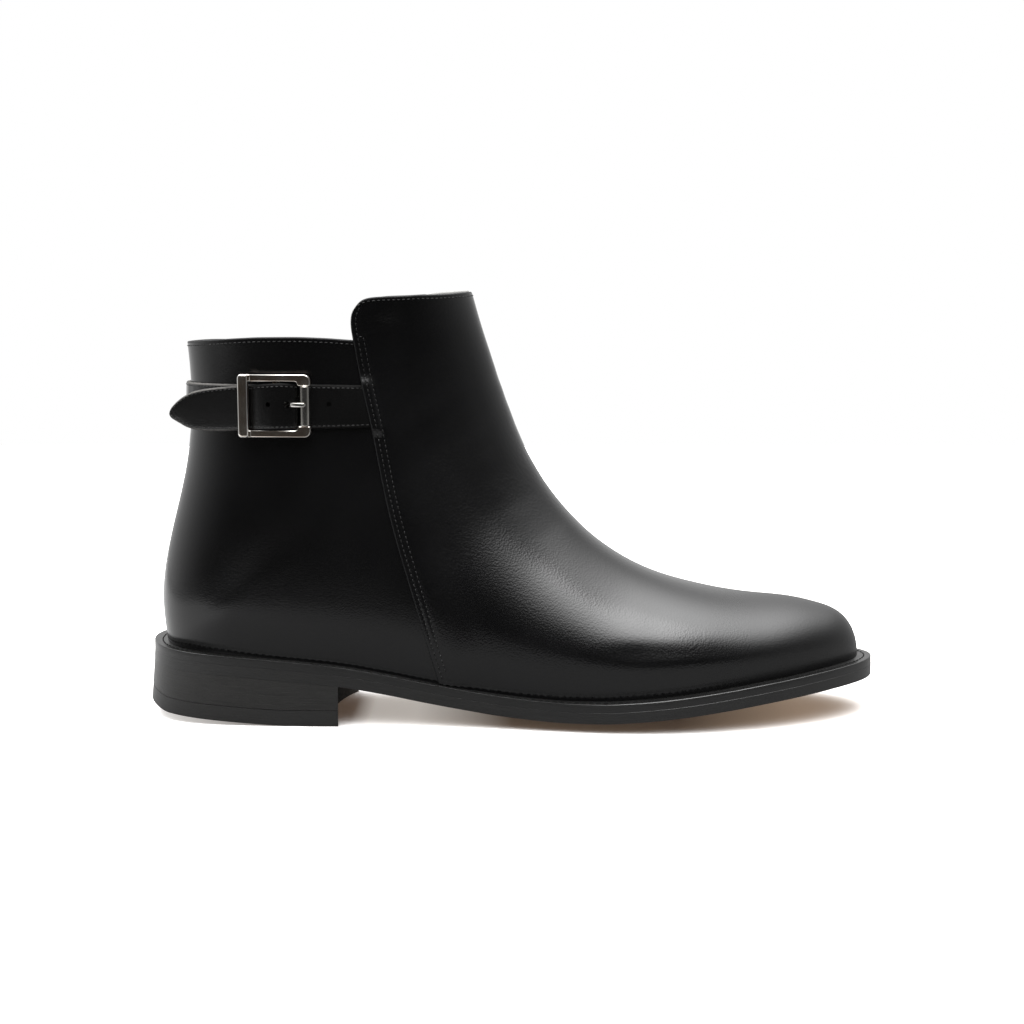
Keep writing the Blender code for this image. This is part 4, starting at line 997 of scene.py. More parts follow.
# -------------------------------------------------------------------- lining
lin_o = G + NRM * (np.minimum(LIFT, 0.0) - PANEL_T - 0.12)[..., None]
lin_i = G + NRM * (np.minimum(LIFT, 0.0) - PANEL_T - 0.12 - LINING_T)[..., None]
peek = 0.88 * smooth((G[-1, :, 0] - 111.5) / 12.0) - 0.35     # below the panel's edge at the sides, over it in front
lin_o[-1, :, 2] += peek
lin_i[-1, :, 2] += peek
done(shell_grid("lining_front", lin_o, lin_i, [LINING_EDGE, LINING, LINING_EDGE]), "footbed", "upper")
lin_o = QG + QN * (-0.03 - PANEL_T - 0.15)
lin_i = QG + QN * (-0.03 - PANEL_T - 0.15 - LINING_T)
lin_o[-1, :, 2] -= 0.5
lin_i[-1, :, 2] -= 0.5
done(shell_grid("lining_back", lin_o, lin_i, [LINING, LINING, LINING_EDGE]), "footbed", "upper")


# ------------------------------------------------------------ seam stitching
def along_edge(grid, nrm, dist, rows_, flip, q):
    """Polyline q mm in from the grid's side edge, over the given rows."""
    pts, nor = [], []
    for r in rows_:
        p, n, d = grid[r], nrm[r], dist[r]
        if flip:
            p, n, d = p[::-1], n[::-1], d[::-1]
        p, n, d = p[:MIDC], n[:MIDC], np.maximum.accumulate(d[:MIDC])
        pts.append([np.interp(q, d, p[:, k]) for k in range(3)])
        nor.append([np.interp(q, d, n[:, k]) for k in range(3)])
    return np.array(pts), unit(np.array(nor))


def below_top(grid, nrm, cols, q):
    """Polyline q mm below the grid's last row, over the given columns."""
    pts, nor = [], []
    for c in cols:
        p, n = grid[::-1][:40, c], nrm[::-1][:40, c]
        d = np.r_[0, np.cumsum(np.linalg.norm(np.diff(p, axis=0), axis=1))]
        pts.append([np.interp(q, d, p[:, k]) for k in range(3)])
        nor.append([np.interp(q, d, n[:, k]) for k in range(3)])
    return np.array(pts), unit(np.array(nor))


fn = unit(np.cross(np.gradient(FRONT_OUT, axis=0), np.gradient(FRONT_OUT, axis=1)))
fn *= np.sign(np.sum(fn * NRM, axis=-1).mean())
paths = []
for flip in (False, True):
    p, n = along_edge(FRONT_OUT, fn, DE, range(SHAFT0, N_ROW), flip, ROW_1)
    keep = np.linalg.norm(p - p[-1], axis=1) > 1.0
    paths.append((p[keep], n[keep]))
    p, n = along_edge(FRONT_OUT, fn, DE, range(SHAFT0, N_ROW), flip, ROW_2)
    keep = p[:, 2] < 155.5
    paths.append((p[keep], n[keep]))
    one = paths[-2][0]
    k = int(np.argmin(np.abs(one[:, 2] - p[keep][-1][2])))
    paths.append((np.array([one[k], p[keep][-1]]), np.array([paths[-1][1][-1]] * 2)))
cols = [c for c in range(N_COL) if DE[-1, c] > 1.5]
paths.append(below_top(FRONT_OUT, fn, cols, COLLAR_ROW))
V, F = stitch_row(paths, PITCH, 1.3, 0.21)
done(make("stitches_front_panel", V, F, THREAD), "upper_leather", "upper")
qn = unit(np.cross(np.gradient(QUARTER_OUT, axis=0), np.gradient(QUARTER_OUT, axis=1)))
qn *= np.sign(np.sum(qn * QN, axis=-1).mean())
inside = int(round(OVERLAP / (np.linalg.norm(QG[-1, 1] - QG[-1, 0]))))
paths = [below_top(QUARTER_OUT, qn, range(inside, QG.shape[1] - inside), COLLAR_ROW)]
V, F = stitch_row(paths, PITCH, 1.3, 0.21)
done(make("stitches_collar", V, F, THREAD), "upper_leather", "upper")


# ------------------------------------------------------- welt, outsole, heel
def swept_ring(name, plan, profile, z_of, mats, soft, rounds, inner):
    """Closed ring: profile points (inset, z) round a plan loop, those in rounds
    scaled by soft (one a plan point); material 1 on the strips in inner; UV in mm."""
    n = len(plan)
    m = len(profile)
    length = np.r_[0, np.cumsum(np.linalg.norm(np.diff(np.vstack([plan, plan[:1]]), axis=0), axis=1))]
    V, UV = [], []
    led = ledge(plan[:, 0])
    for j, (d, dz, wide) in enumerate(profile):
        k = soft if j in rounds else 1.0
        p = inset(plan, d * k + wide * led)
        z = z_of(p[:, 0]) + dz * k
        V.append(np.column_stack([p, z]))
        run = sum(math.hypot(profile[i + 1][0] - profile[i][0], profile[i + 1][1] - profile[i][1]) for i in range(j))
        UV.append(np.column_stack([length[:-1], np.full(n, run)]))
    V = np.concatenate(V)
    UV = np.concatenate(UV)
    F, M = [], []
    for j in range(m):
        k = (j + 1) % m
        for i in range(n):
            i2 = (i + 1) % n
            F.append([j * n + i, j * n + i2, k * n + i2, k * n + i])
        M += [1 if j in inner else 0] * n
    return make(name, V, F, mats, M, uv=UV)


def rake(ob):
    """Lean the heel's back: full length at the tread, drawn in at the welt."""
    me = ob.data
    co = np.zeros(3 * len(me.vertices))
    me.vertices.foreach_get("co", co)
    co = co.reshape(-1, 3)
    x, z = co[:, 0] / MM + SOLE_LENGTH / 2, co[:, 2] / MM
    co[:, 0] += 1.7 * MM * smooth((26.0 - x) / 26.0) * np.clip((z - 5.0) / 21.0, 0, 1)
    me.vertices.foreach_set("co", co.ravel())
    me.update()
    return ob


RING = closed_plan(720)
RING = inset(RING, 0.07 * smooth((RING[:, 0] - 170.0) / 60.0))     # outsole shows past the welt in the forepart
WELT_PROFILE = (    # inset, height from the welt's top, share of the ledge added
    (0.00, -WELT_T + 0.30, 0), (0.00, -1.9, 0), (0.02, -0.45, 0), (0.09, -0.20, 0), (0.25, -0.04, 0), (0.5, 0.0, 0),
    (0.3, -0.02, 0.35), (0.0, -0.22, 0.50), (-0.3, -0.03, 0.65), (-0.1, 0.0, 1.0), (0.3, 0.29, 1.0), (1.6, 0.29, 1.0), (WALL, 0.29, 1.0), (WALL, -WELT_T, 1.0),
    (1.2, -WELT_T, 0), (0.02, -WELT_T, 0), (0.00, -WELT_T + 0.02, 0),
)
SOFT = 0.10 + 0.75 * smooth((RING[:, 0] - 165.0) / 45.0) + 0.35 * smooth((34.0 - RING[:, 0]) / 14.0)
welt = swept_ring("welt_ring", RING, WELT_PROFILE, welt_top, [WELT_MAT, FOOTBED], SOFT, (2, 3, 4, 5), (11, 12))
rake(welt)
done(welt, "welt", "welt")
w_plan = inset(RING, 0.5 * ledge(RING[:, 0]))
w_pts = np.column_stack([w_plan, welt_top(w_plan[:, 0]) - 0.22])
w_pts = np.vstack([w_pts, w_pts[:1]])
V, F = stitch_row([(w_pts, np.tile([0.0, 0.0, 1.0], (len(w_pts), 1)))], 2.9, 2.1, 0.30)
done(rake(make("stitches_welt", V, F, THREAD_WELT)), "welt", "welt")


def branches(plan):
    a, b = int(np.argmin(plan[:, 0])), int(np.argmax(plan[:, 0]))
    r = np.roll(plan, -a, axis=0)
    k = (b - a) % len(plan)
    la, me = r[:k + 1], np.vstack([r[k:], r[:1]])[::-1]
    return (lambda x: np.interp(x, la[:, 0], la[:, 1]), lambda x: np.interp(x, me[:, 0], me[:, 1]),
            la[0, 0], la[-1, 0])


def plate(name, plan, z_top, z_low, mats, n_long, n_wide, x_max=None, x_end=None, wall=6, rim=0.1):
    """Solid between two heights inside a plan loop, its rims chamfered by rim
    mm (a number or one a plan point) and its wall cut in courses.  Material 0
    on the wall and top, 1 below, 2 on the straight end; UV in mm."""
    V, UV, F, M = [], [], [], []
    by = np.broadcast_to(np.asarray(rim, float), (len(plan),))
    rim_at = lambda x, y: float(by[np.argmin((plan[:, 0] - x) ** 2 + (plan[:, 1] - y) ** 2)])

    def rows_of(loop):
        fl, fm, x0, x1 = branches(loop)
        stop = x1 if x_max is None else x_max
        ang = np.linspace(0, math.pi if x_max is None else math.pi * 0.5, n_long + 1)
        xs = x0 + (stop - x0) * (1 - np.cos(ang)) / (1 - np.cos(ang[-1]))
        ts = np.sin(np.linspace(-math.pi / 2, math.pi / 2, n_wide + 1))
        rows_ = []
        for i, x in enumerate(xs):
            pole = i == 0 or (i == n_long and x_max is None)
            row = []
            for t in ([1.0] if pole else ts):
                xx = x if (x_end is None or pole) else x + (x_end(t) - stop) * ((x - x0) / (stop - x0)) ** 3
                yl, ym = float(fl(xx)), float(fm(xx))
                row.append((xx, yl if pole else 0.5 * (yl + ym) + 0.5 * (ym - yl) * t, t))
            rows_.append(row * (n_wide + 1) if pole else row)
        return rows_

    face, side_ = rows_of(inset(plan, by)), rows_of(plan)
    up, dn = [], []
    for i, row in enumerate(face):
        pole = i == 0 or (i == n_long and x_max is None)
        a, b = [], []
        for k, (x, y, t) in enumerate(row):
            if pole and k:
                a.append(a[0])
                b.append(b[0])
                continue
            a.append(len(V))
            b.append(len(V) + 1)
            V += [(x, y, float(z_top(x, t))), (x, y, float(z_low(x, t)))]
            UV += [(x, y), (x, y)]
        up.append(a)
        dn.append(b)

    def quad(loop, mat):
        loop = list(dict.fromkeys(loop))
        if len(loop) > 2:
            F.append(loop)
            M.append(mat)
    for u0, d0, u1, d1 in zip(up[:-1], dn[:-1], up[1:], dn[1:]):
        for j in range(n_wide):
            quad((u0[j], u0[j + 1], u1[j + 1], u1[j]), 0)
            quad((d0[j], d1[j], d1[j + 1], d0[j + 1]), 1)
    ring_ = [(i, 0) for i in range(n_long + 1)]
    if x_max is None:
        ring_ += [(i, n_wide) for i in range(n_long - 1, 0, -1)]
    else:
        ring_ += [(n_long, j) for j in range(1, n_wide)] + [(i, n_wide) for i in range(n_long, 0, -1)]
    P = np.array([side_[i][j] for i, j in ring_])
    run = np.r_[0, np.cumsum(np.linalg.norm(np.diff(P[:, :2], axis=0), axis=1))]
    courses = []
    for k in range(wall + 3):
        row = []
        for (i, j), q in zip(ring_, run):
            x, y, t = face[i][j] if k in (0, wall + 2) else side_[i][j]
            r = 0.0 if k in (0, wall + 2) else rim_at(x, y)
            hi, lo = float(z_top(x, t)), float(z_low(x, t))
            g = min(max(k - 1, 0), wall) / wall
            row.append(len(V))
            V.append((x, y, (hi - r) + (lo - hi + 2 * r) * g))
            UV.append((q, (1 - g) * (hi - lo)))
        courses.append(row)
    n = len(ring_)
    for a, b in zip(courses[:-1], courses[1:]):
        for i in range(n):
            j = (i + 1) % n
            F.append([a[i], a[j], b[j], b[i]])
            M.append(2 if len(mats) > 2 and x_max is not None and ring_[i][0] == n_long and ring_[j][0] == n_long else 0)
    ob = make(name, V, F, mats, M, uv=UV, fix=False)
    me = ob.data
    bm = bmesh.new()
    bm.from_mesh(me)
    bmesh.ops.remove_doubles(bm, verts=bm.verts, dist=0.000012)
    bmesh.ops.recalc_face_normals(bm, faces=bm.faces)
    bm.to_mesh(me)
    bm.free()
    return ob


def sole_edge(x):
    return welt_top(x) - WELT_T - GAP - OUTSOLE_T


def crown(t):
    a = np.clip((abs(t) - 0.5) / 0.5, 0, 1)
    return 1 - a * a * (3 - 2 * a)


def sole_low(x, t):
    edge = sole_edge(x)
    if x < 84.0:
        return edge
    ease = min((x - 84.0) / 40.0, 1.0)
    return edge + (min(float(tread_mid(x)), edge) - edge) * crown(t) * ease


def heel_tread(x):
    a = np.clip((HEEL_FLAT_X - x) / HEEL_FLAT_X, 0, 1)
    return HEEL_ROLL * a ** 1.15 + 1.9 * float(smooth((11.0 - x) / 11.0))


def breast(t):
    line = BREAST_LAT + (BREAST_MED - BREAST_LAT) * 0.5 * (t + 1)
    return line - BREAST_HOLLOW * (1 - t * t)


outsole = plate("outsole_leather", PLAN, lambda x, t: welt_top(x) - WELT_T - 0.01, sole_low, [EDGE_MAT, SOLE_TAN], 170, 34,
                rim=0.005 + 0.045 * smooth((PLAN[:, 0] - 170.0) / 60.0))
done(sharp(rake(outsole)), "outsole", "outsole")
HEEL_PLAN = inset(PLAN, np.full(len(PLAN), 0.10))
heel = plate("heel_lifts", HEEL_PLAN, lambda x, t: sole_edge(x) - 0.03, lambda x, t: heel_tread(x) + TOP_PIECE_T + 0.16,
             [STACK_MAT, STACK_MAT, BREAST_MAT], 80, 24, 82.0, breast, rim=0.008)
done(sharp(rake(heel)), "heel_stack", "heel")
top_piece = plate("heel_top_piece", HEEL_PLAN, lambda x, t: heel_tread(x) + TOP_PIECE_T, lambda x, t: heel_tread(x),
                  [TOP_MAT, TOP_MAT, BREAST_MAT], 80, 24, 82.0, breast, rim=0.006)
done(sharp(rake(top_piece)), "top_piece", "top_piece")

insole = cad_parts["insole"]
insole.data.materials.clear()
insole.data.materials.append(FOOTBED)
insole.data.polygons.foreach_set("use_smooth", [True] * len(insole.data.polygons))


# ------------------------------------------------------------ ankle straps
def surface_tree():
    s = np.linspace(S_ROW[15], S_ROW[-1], 90)
    f = np.sin(np.linspace(0, math.pi / 2, 70))
    verts, faces = [], []
    for side in (0, 1):
        base = len(verts)
        P = skin_s(s[:, None], f[None, :], side)
        P[:, 0, 1] = BACK_Y
        verts += [Vector(p) for p in P.reshape(-1, 3)]
        for i in range(len(s) - 1):
            for j in range(len(f) - 1):
                a = base + i * len(f) + j
                faces.append([a, a + 1, a + 1 + len(f), a + len(f)])
    return BVHTree.FromPolygons(verts, faces)


TREE = surface_tree()
ANKLE_X = 66.0


def ankle(theta, z):
    d = Vector((-math.cos(theta), -math.sin(theta), 0.0))
    o = Vector((ANKLE_X, BACK_Y + 0.003, z))
    return TREE.ray_cast(o + d * 200.0, -d)[0]


thetas = np.linspace(math.radians(-135), math.radians(135), 541)
girth = np.array([tuple(ankle(t, STRAP_Z))[:2] for t in thetas])
for _ in range(3):
    girth[1:-1] = 0.25 * girth[:-2] + 0.5 * girth[1:-1] + 0.25 * girth[2:]
arc = np.r_[0, np.cumsum(np.linalg.norm(np.diff(girth, axis=0), axis=1))]
tang = np.gradient(girth, arc, axis=0)
tang /= np.linalg.norm(tang, axis=1)[:, None]
norm = np.column_stack([tang[:, 1], -tang[:, 0]])
mid = np.array([ANKLE_X, BACK_Y])
norm *= np.sign(np.sum(norm * (girth - mid), axis=1))[:, None]
LEAN_H = 8.7
lean_lo = np.sum((np.array([tuple(ankle(t, STRAP_Z - LEAN_H))[:2] for t in thetas]) - girth) * norm, axis=1)
lean_hi = np.sum((np.array([tuple(ankle(t, STRAP_Z + LEAN_H))[:2] for t in thetas]) - girth) * norm, axis=1)
ease_off = np.maximum(0.0, -0.5 * (lean_lo + lean_hi))
lean_lo, lean_hi = lean_lo + ease_off, lean_hi + ease_off


def lean(a):
    return float(np.interp(a, arc, lean_lo)), float(np.interp(a, arc, lean_hi))


def where(x, side):
    half = len(arc) // 2
    k = slice(half, None) if side > 0 else slice(0, half + 1)
    return float(np.interp(x, girth[k, 0] if side > 0 else girth[k, 0][::-1], arc[k] if side > 0 else arc[k][::-1]))


def on_girth(a):
    p = np.array([np.interp(a, arc, girth[:, 0]), np.interp(a, arc, girth[:, 1])])
    n = np.array([np.interp(a, arc, norm[:, 0]), np.interp(a, arc, norm[:, 1])])
    return p, n / np.linalg.norm(n)


A_BUCKLE = where(BUCKLE_X, 1)
rise = monotone(sorted(STRAP_RISE), 1)
upper_edge = monotone(STRAP_EDGES, 1)
lower_edge = monotone(STRAP_EDGES, 2)
A_END = where(SEAM_X - 1.5, 1)
A_START = where(SEAM_X - 1.5, -1)


def thick_at(d):
    """Strap's thickness d mm from its end under the front panel."""
    return SKIVED + (STRAP_T - SKIVED) * float(smooth(d / 11.0))


def strap_point(u):
    if u >= LEAVE:
        p, n = on_girth(A_BUCKLE + u)
        return p + n * (float(rise(u)) if u < 14.3 else GAP + thick_at(A_END - A_BUCKLE - u) / 2 + 0.05)
    a, b = strap_point(LEAVE), strap_point(LEAVE + 1.0)
    d = (a - b) / np.linalg.norm(a - b)
    return a + d * (LEAVE - u)


def strap_profile(half, thick, corner):
    """Strap's cross-section as (height, out) points, counter-clockwise, rounded;
    returns the points and which of them belong to the cut edge."""
    pts, edge = [], []
    r = min(corner, half * 0.8)
    t = thick / 2
    for w in np.linspace(-half + r, half - r, 13):
        crown_ = 0.10 * (1 - (w / max(half, 1e-6)) ** 2)
        dip = -0.13 * math.exp(-((half - abs(w) - 1.25) / 0.4) ** 2) if half > 4 else 0.0
        pts.append((w, t + crown_ + dip))
        edge.append(0)
    for k in range(1, 6):
        a = math.pi / 2 - math.pi * k / 6
        pts.append((half - r + r * math.cos(a), t * math.sin(a)))
        edge.append(1)
    for w in np.linspace(half - r, -half + r, 7):
        pts.append((w, -t))
        edge.append(0)
    for k in range(1, 6):
        a = -math.pi / 2 - math.pi * k / 6
        pts.append((-half + r + r * math.cos(a), t * math.sin(a)))
        edge.append(1)
    return pts, edge


def strap_body(name, path, heights, leans, thicks, mats, corner=0.75):
    """Strap swept along plan points, with rounded edges; returns it and a
    function that gives points on its outer face."""
    path = np.asarray(path)
    t = np.gradient(path, axis=0)
    t /= np.linalg.norm(t, axis=1)[:, None]
    n = np.column_stack([t[:, 1], -t[:, 0]])
    n *= np.sign(float(np.sum(n[len(n) // 2] * (path[len(n) // 2] - mid))))
    V, F, M = [], [], []
    m = None
    for p, nn, (lo, hi), (b, c), th in zip(path, n, heights, leans, thicks):
        half, zc = 0.5 * (hi - lo), 0.5 * (hi + lo)
        prof, edge = strap_profile(half, th, corner)
        m = len(prof)
        for w, e in prof:
            f = 0.5 * (w / half + 1)
            q = p + nn * (b + (c - b) * f + e)
            V.append((q[0], q[1], zc + w))
    k = len(path)
    for i in range(k - 1):
        for j in range(m):
            j2 = (j + 1) % m
            F.append([i * m + j, i * m + j2, (i + 1) * m + j2, (i + 1) * m + j])
            M.append(1 if edge[j] or edge[j2] else 0)
    F.append(list(range(m))[::-1])
    F.append(list(range((k - 1) * m, k * m)))
    M += [1, 1]

    def row(from_edge, upper_side, skip=0):
        pts, nor = [], []
        for p, nn, (lo, hi), (b, c), th in zip(path, n, heights, leans, thicks):
            half, zc = 0.5 * (hi - lo), 0.5 * (hi + lo)
            w = (half - from_edge) * (1 if upper_side else -1)
            if half - from_edge < 0.4:
                continue
            f = 0.5 * (w / half + 1)
            q = p + nn * (b + (c - b) * f + th / 2 - 0.02)
            pts.append((q[0], q[1], zc + w))
            nor.append((nn[0], nn[1], -(c - b) / (2 * half)))
        return np.array(pts), unit(np.array(nor))
    return make(name, V, F, mats, M), row


us = np.concatenate([np.linspace(A_END - A_BUCKLE, 15.0, 44), np.linspace(14.6, LEAVE, 70),
                     np.linspace(LEAVE - 0.6, -40.0, 44), np.linspace(-40.3, STRAP_EDGES[0][0], 22)])
path = [strap_point(u) for u in us]
heights = [(STRAP_Z + float(lower_edge(u)), STRAP_Z + float(upper_edge(u))) for u in us]
leans = [lean(A_BUCKLE + max(u, LEAVE)) for u in us]
thicks = [thick_at(A_END - A_BUCKLE - u) for u in us]
strap, strap_row = strap_body("strap_tip_piece", path, heights, leans, thicks, [BLACK_STRAP, EDGE_STRAP])

aa = np.linspace(A_START, A_BUCKLE + 2.5, 190)
thicks = [thick_at(a - A_START) for a in aa]
path_b = [on_girth(a)[0] + on_girth(a)[1] * (GAP + th / 2 + 0.05) for a, th in zip(aa, thicks)]
buckle_strap, back_row = strap_body("strap_buckle_piece", path_b, [(STRAP_Z - 9.0, STRAP_Z + 8.0)] * len(aa),
                                    [lean(a) for a in aa], thicks, [BLACK_STRAP, EDGE_STRAP])
done(buckle_strap, "strap_leather", "buckle_strap")

# ------------------------------------------------------------------- buckle
pa, _n = on_girth(A_BUCKLE - BUCKLE_U + 2)
pb, _n = on_girth(A_BUCKLE + BUCKLE_U - 2)
BU = (pb - pa) / np.linalg.norm(pb - pa)
BN = np.array([BU[1], -BU[0]])
BN *= np.sign(float(np.dot(BN, pa - mid)))
p0, n0 = on_girth(A_BUCKLE)
ZB = STRAP_Z - 0.2
lo_, hi_ = lean(A_BUCKLE)
TILT = (hi_ - lo_) / (2 * LEAN_H)
STAND = 0.5 * (hi_ + lo_)


def at_buckle(u, v, n):
    q = p0 + BU * u + BN * (n + STAND + TILT * v)
    return (q[0], q[1], ZB + v)


def rounded(corners, steps=6):
    """Outline from (u, v, radius) corners."""
    pts = []
    n = len(corners)
    for i in range(n):
        a = np.array(corners[i - 1][:2])
        b = np.array(corners[i][:2])
        c = np.array(corners[(i + 1) % n][:2])
        r = corners[i][2]
        if r <= 0:
            pts.append(tuple(b))
            continue
        d0, d1 = unit(a - b), unit(c - b)
        ang = math.acos(max(-1, min(1, float(np.dot(d0, d1)))))
        cut = r / math.tan(ang / 2)
        centre = b + unit(d0 + d1) * r / math.sin(ang / 2)
        s, e = b + d0 * cut - centre, b + d1 * cut - centre
        a0, a1 = math.atan2(s[1], s[0]), math.atan2(e[1], e[0])
        da = (a1 - a0 + math.pi) % (2 * math.pi) - math.pi
        for k in range(steps + 1):
            t = a0 + da * k / steps
            pts.append((centre[0] + r * math.cos(t), centre[1] + r * math.sin(t)))
    return pts


def drawn_in(outline, by):
    """Outline moved inwards by this much, corners mitred."""
    p = np.array(outline, float)
    e1 = unit(p - np.roll(p, 1, axis=0))
    e2 = unit(np.roll(p, -1, axis=0) - p)
    q = np.roll(p, -1, axis=0)
    turn = 1.0 if np.sum(p[:, 0] * q[:, 1] - q[:, 0] * p[:, 1]) > 0 else -1.0
    n1 = np.column_stack([-e1[:, 1], e1[:, 0]]) * turn
    n2 = np.column_stack([-e2[:, 1], e2[:, 0]]) * turn
    m = unit(n1 + n2)
    return p + m * (by / np.maximum(np.sum(m * n1, axis=1), 0.4))[:, None]


def slab(outline, n0_, n1_, base, r=0.36):
    """Bar of the frame: flat front with rounded rims, chamfered back; material 1, a darker copy of the nickel as
    painted shade, on its sides and back, 2, a lighter copy as painted highlight, on the rims."""
    steps = [(0.18, n0_), (0.0, n0_ + 0.18), (0.0, n1_ - r)]
    steps += [(r * (1 - math.cos(a)), n1_ - r + r * math.sin(a)) for a in np.radians((22.5, 45.0, 67.5, 90.0))]
    steps += [(r + 0.07, n1_)]
    V, F, M = [], [], []
    k = len(outline)
    for by, n in steps:
        V += [at_buckle(u, v, n) for u, v in drawn_in(outline, by)]
    for j in range(len(steps) - 1):
        a, b = base + j * k, base + (j + 1) * k
        F += [[a + i, a + (i + 1) % k, b + (i + 1) % k, b + i] for i in range(k)]
        M += [1 if j < 2 else 2 if j < 5 else 0] * k
    top = base + (len(steps) - 1) * k
    return V, F + [[base + i for i in range(k)][::-1], [top + i for i in range(k)]], M + [1, 0]


def tube(path_, radii, base, sides=20):
    """Round bar through 3-D points with a radius at each; closed ends."""
    P = np.asarray(path_, float)
    t = unit(np.gradient(P, axis=0))
    e = unit(np.cross(t[0], [0.31, 0.9, 0.22]))
    V, F = [], []
    for p, tt, r in zip(P, t, radii):
        e = unit(e - tt * np.dot(e, tt))
        f = np.cross(tt, e)
        V += [p + r * (e * math.cos(2 * math.pi * k / sides) + f * math.sin(2 * math.pi * k / sides)) for k in range(sides)]
    for i in range(len(P) - 1):
        for k in range(sides):
            m = (k + 1) % sides
            F.append([base + i * sides + k, base + i * sides + m, base + (i + 1) * sides + m, base + (i + 1) * sides + k])
    F.append([base + k for k in range(sides)][::-1])
    F.append([base + (len(P) - 1) * sides + k for k in range(sides)])
    return V, F


BV, BF, BM = [], [], []


def add(part):
    BV.extend(part[0])
    BF.extend(part[1])
    BM.extend(part[2] if len(part) > 2 else [0] * len(part[1]))


for s in (1, -1):
    arm = [(-BUCKLE_U + 0.6, s * (BUCKLE_V - ARM_W), 0.0), (BUCKLE_U - BLOCK_U, s * (BUCKLE_V - ARM_W), 1.5),
           (BUCKLE_U - BLOCK_U + 0.25, s * BLOCK_V, 0.5), (BUCKLE_U, s * BLOCK_V, 0.6),
           (BUCKLE_U, s * (BUCKLE_V - 0.2), 2.3), (-BUCKLE_U + 0.6, s * (BUCKLE_V - 0.2), 0.0)]
    add(slab(rounded(arm), ARM_N[0], ARM_N[1], len(BV)))
keeper = [(-BUCKLE_U, -BUCKLE_V, 1.6), (-BUCKLE_U + KEEPER_W, -BUCKLE_V, 1.0), (-BUCKLE_U + KEEPER_W, BUCKLE_V, 1.0), (-BUCKLE_U, BUCKLE_V, 1.6)]
add(slab(rounded(keeper, 5), KEEPER_N[0], KEEPER_N[1], len(BV), 0.85))
for s in (1, -1):     # shoulders that carry the keeper down to the arms
    foot = [(-BUCKLE_U + 0.5, s * (BUCKLE_V - ARM_W + 0.1), 0.0), (-BUCKLE_U + KEEPER_W + 0.9, s * (BUCKLE_V - ARM_W + 0.1), 0.0),
            (-BUCKLE_U + KEEPER_W + 0.9, s * (BUCKLE_V - 0.1), 0.3), (-BUCKLE_U + 0.5, s * (BUCKLE_V - 0.1), 0.3)]
    add(slab(rounded(foot, 3), ARM_N[0] - 0.02, KEEPER_N[0] + 1.25, len(BV)))
buckle = make("buckle_frame_piece", BV, BF, [NICKEL, NICKEL_PAINTED_SHADE, NICKEL_PAINTED_HIGHLIGHT], BM, smooth_faces=True)
done(sharp(buckle, 50.0), "buckle", "buckle_frame")
BV, BF, BM = [], [], []
add(tube([at_buckle(0, v, PIVOT_N) for v in np.linspace(-BUCKLE_V + 1.2, BUCKLE_V - 1.2, 5)], [PIVOT_R] * 5, 0))
add(tube([at_buckle(ROLLER_U, v, ROLLER_N) for v in np.linspace(-BLOCK_V - 1.5, BLOCK_V + 1.5, 5)], [ROD_R] * 5, len(BV)))
done(make("buckle_bars", BV, BF, NICKEL), "buckle", "buckle_frame")
ends = BLOCK_V - 0.12
vs = [-ends, -ends + 0.05, -ends + 0.16, -ends + 0.5, 0.0, ends - 0.5, ends - 0.16, ends - 0.05, ends]
rs = [ROLLER_R - 0.22, ROLLER_R - 0.11, ROLLER_R - 0.02, ROLLER_R, ROLLER_R, ROLLER_R, ROLLER_R - 0.02, ROLLER_R - 0.11, ROLLER_R - 0.22]
V, F = tube([at_buckle(ROLLER_U, v, ROLLER_N) for v in vs], rs, 0, 40)
done(make("buckle_roller_piece", V, F, ROLLER_MAT), "buckle", "buckle_roller")
d = np.r_[0, np.cumsum([math.dist(a, b) for a, b in zip(PRONG[:-1], PRONG[1:])])]
f = spline(d, np.array(PRONG, float))
q = f(np.linspace(0, d[-1], 44))
slope = unit(np.gradient(q, axis=0))
taper = np.r_[np.full(38, 1.0), 0.98, 0.94, 0.86, 0.72, 0.5, 0.2]
PRONG_V, PRONG_N, PRONG_UP = 0.88, 0.72, 0.55     # flat-topped tang: half sizes, height over the frame's middle
V, F = [], []
for (u, n), (du, dn), k in zip(q, slope, taper):
    for i in range(22):
        a = 2 * math.pi * i / 22
        c, s = math.cos(a), math.sin(a)
        c, s = math.copysign(abs(c) ** 0.48, c), math.copysign(abs(s) ** 0.48, s)
        V.append(at_buckle(u - dn * PRONG_N * k * s, PRONG_UP + PRONG_V * k * c, n + du * PRONG_N * k * s))
for j in range(len(q) - 1):
    F += [[j * 22 + i, j * 22 + (i + 1) % 22, (j + 1) * 22 + (i + 1) % 22, (j + 1) * 22 + i] for i in range(22)]
F += [list(range(22))[::-1], list(range((len(q) - 1) * 22, len(q) * 22))]
done(make("buckle_prong_piece", V, F, PRONG_MAT), "buckle", "buckle_prong")


# holes and the prong's slot in the strap
def drill(ob, ring_a, ring_b, name):
    n = len(ring_a)
    F = [list(range(n))[::-1], list(range(n, 2 * n))] + [[i, (i + 1) % n, n + (i + 1) % n, n + i] for i in range(n)]
    tool = make(name, np.vstack([ring_a, ring_b]), F, HOLE_MAT, smooth_faces=False)
    m = ob.modifiers.new(name, "BOOLEAN")
    m.operation = "DIFFERENCE"
    m.solver = "EXACT"
    m.object = tool
    return tool


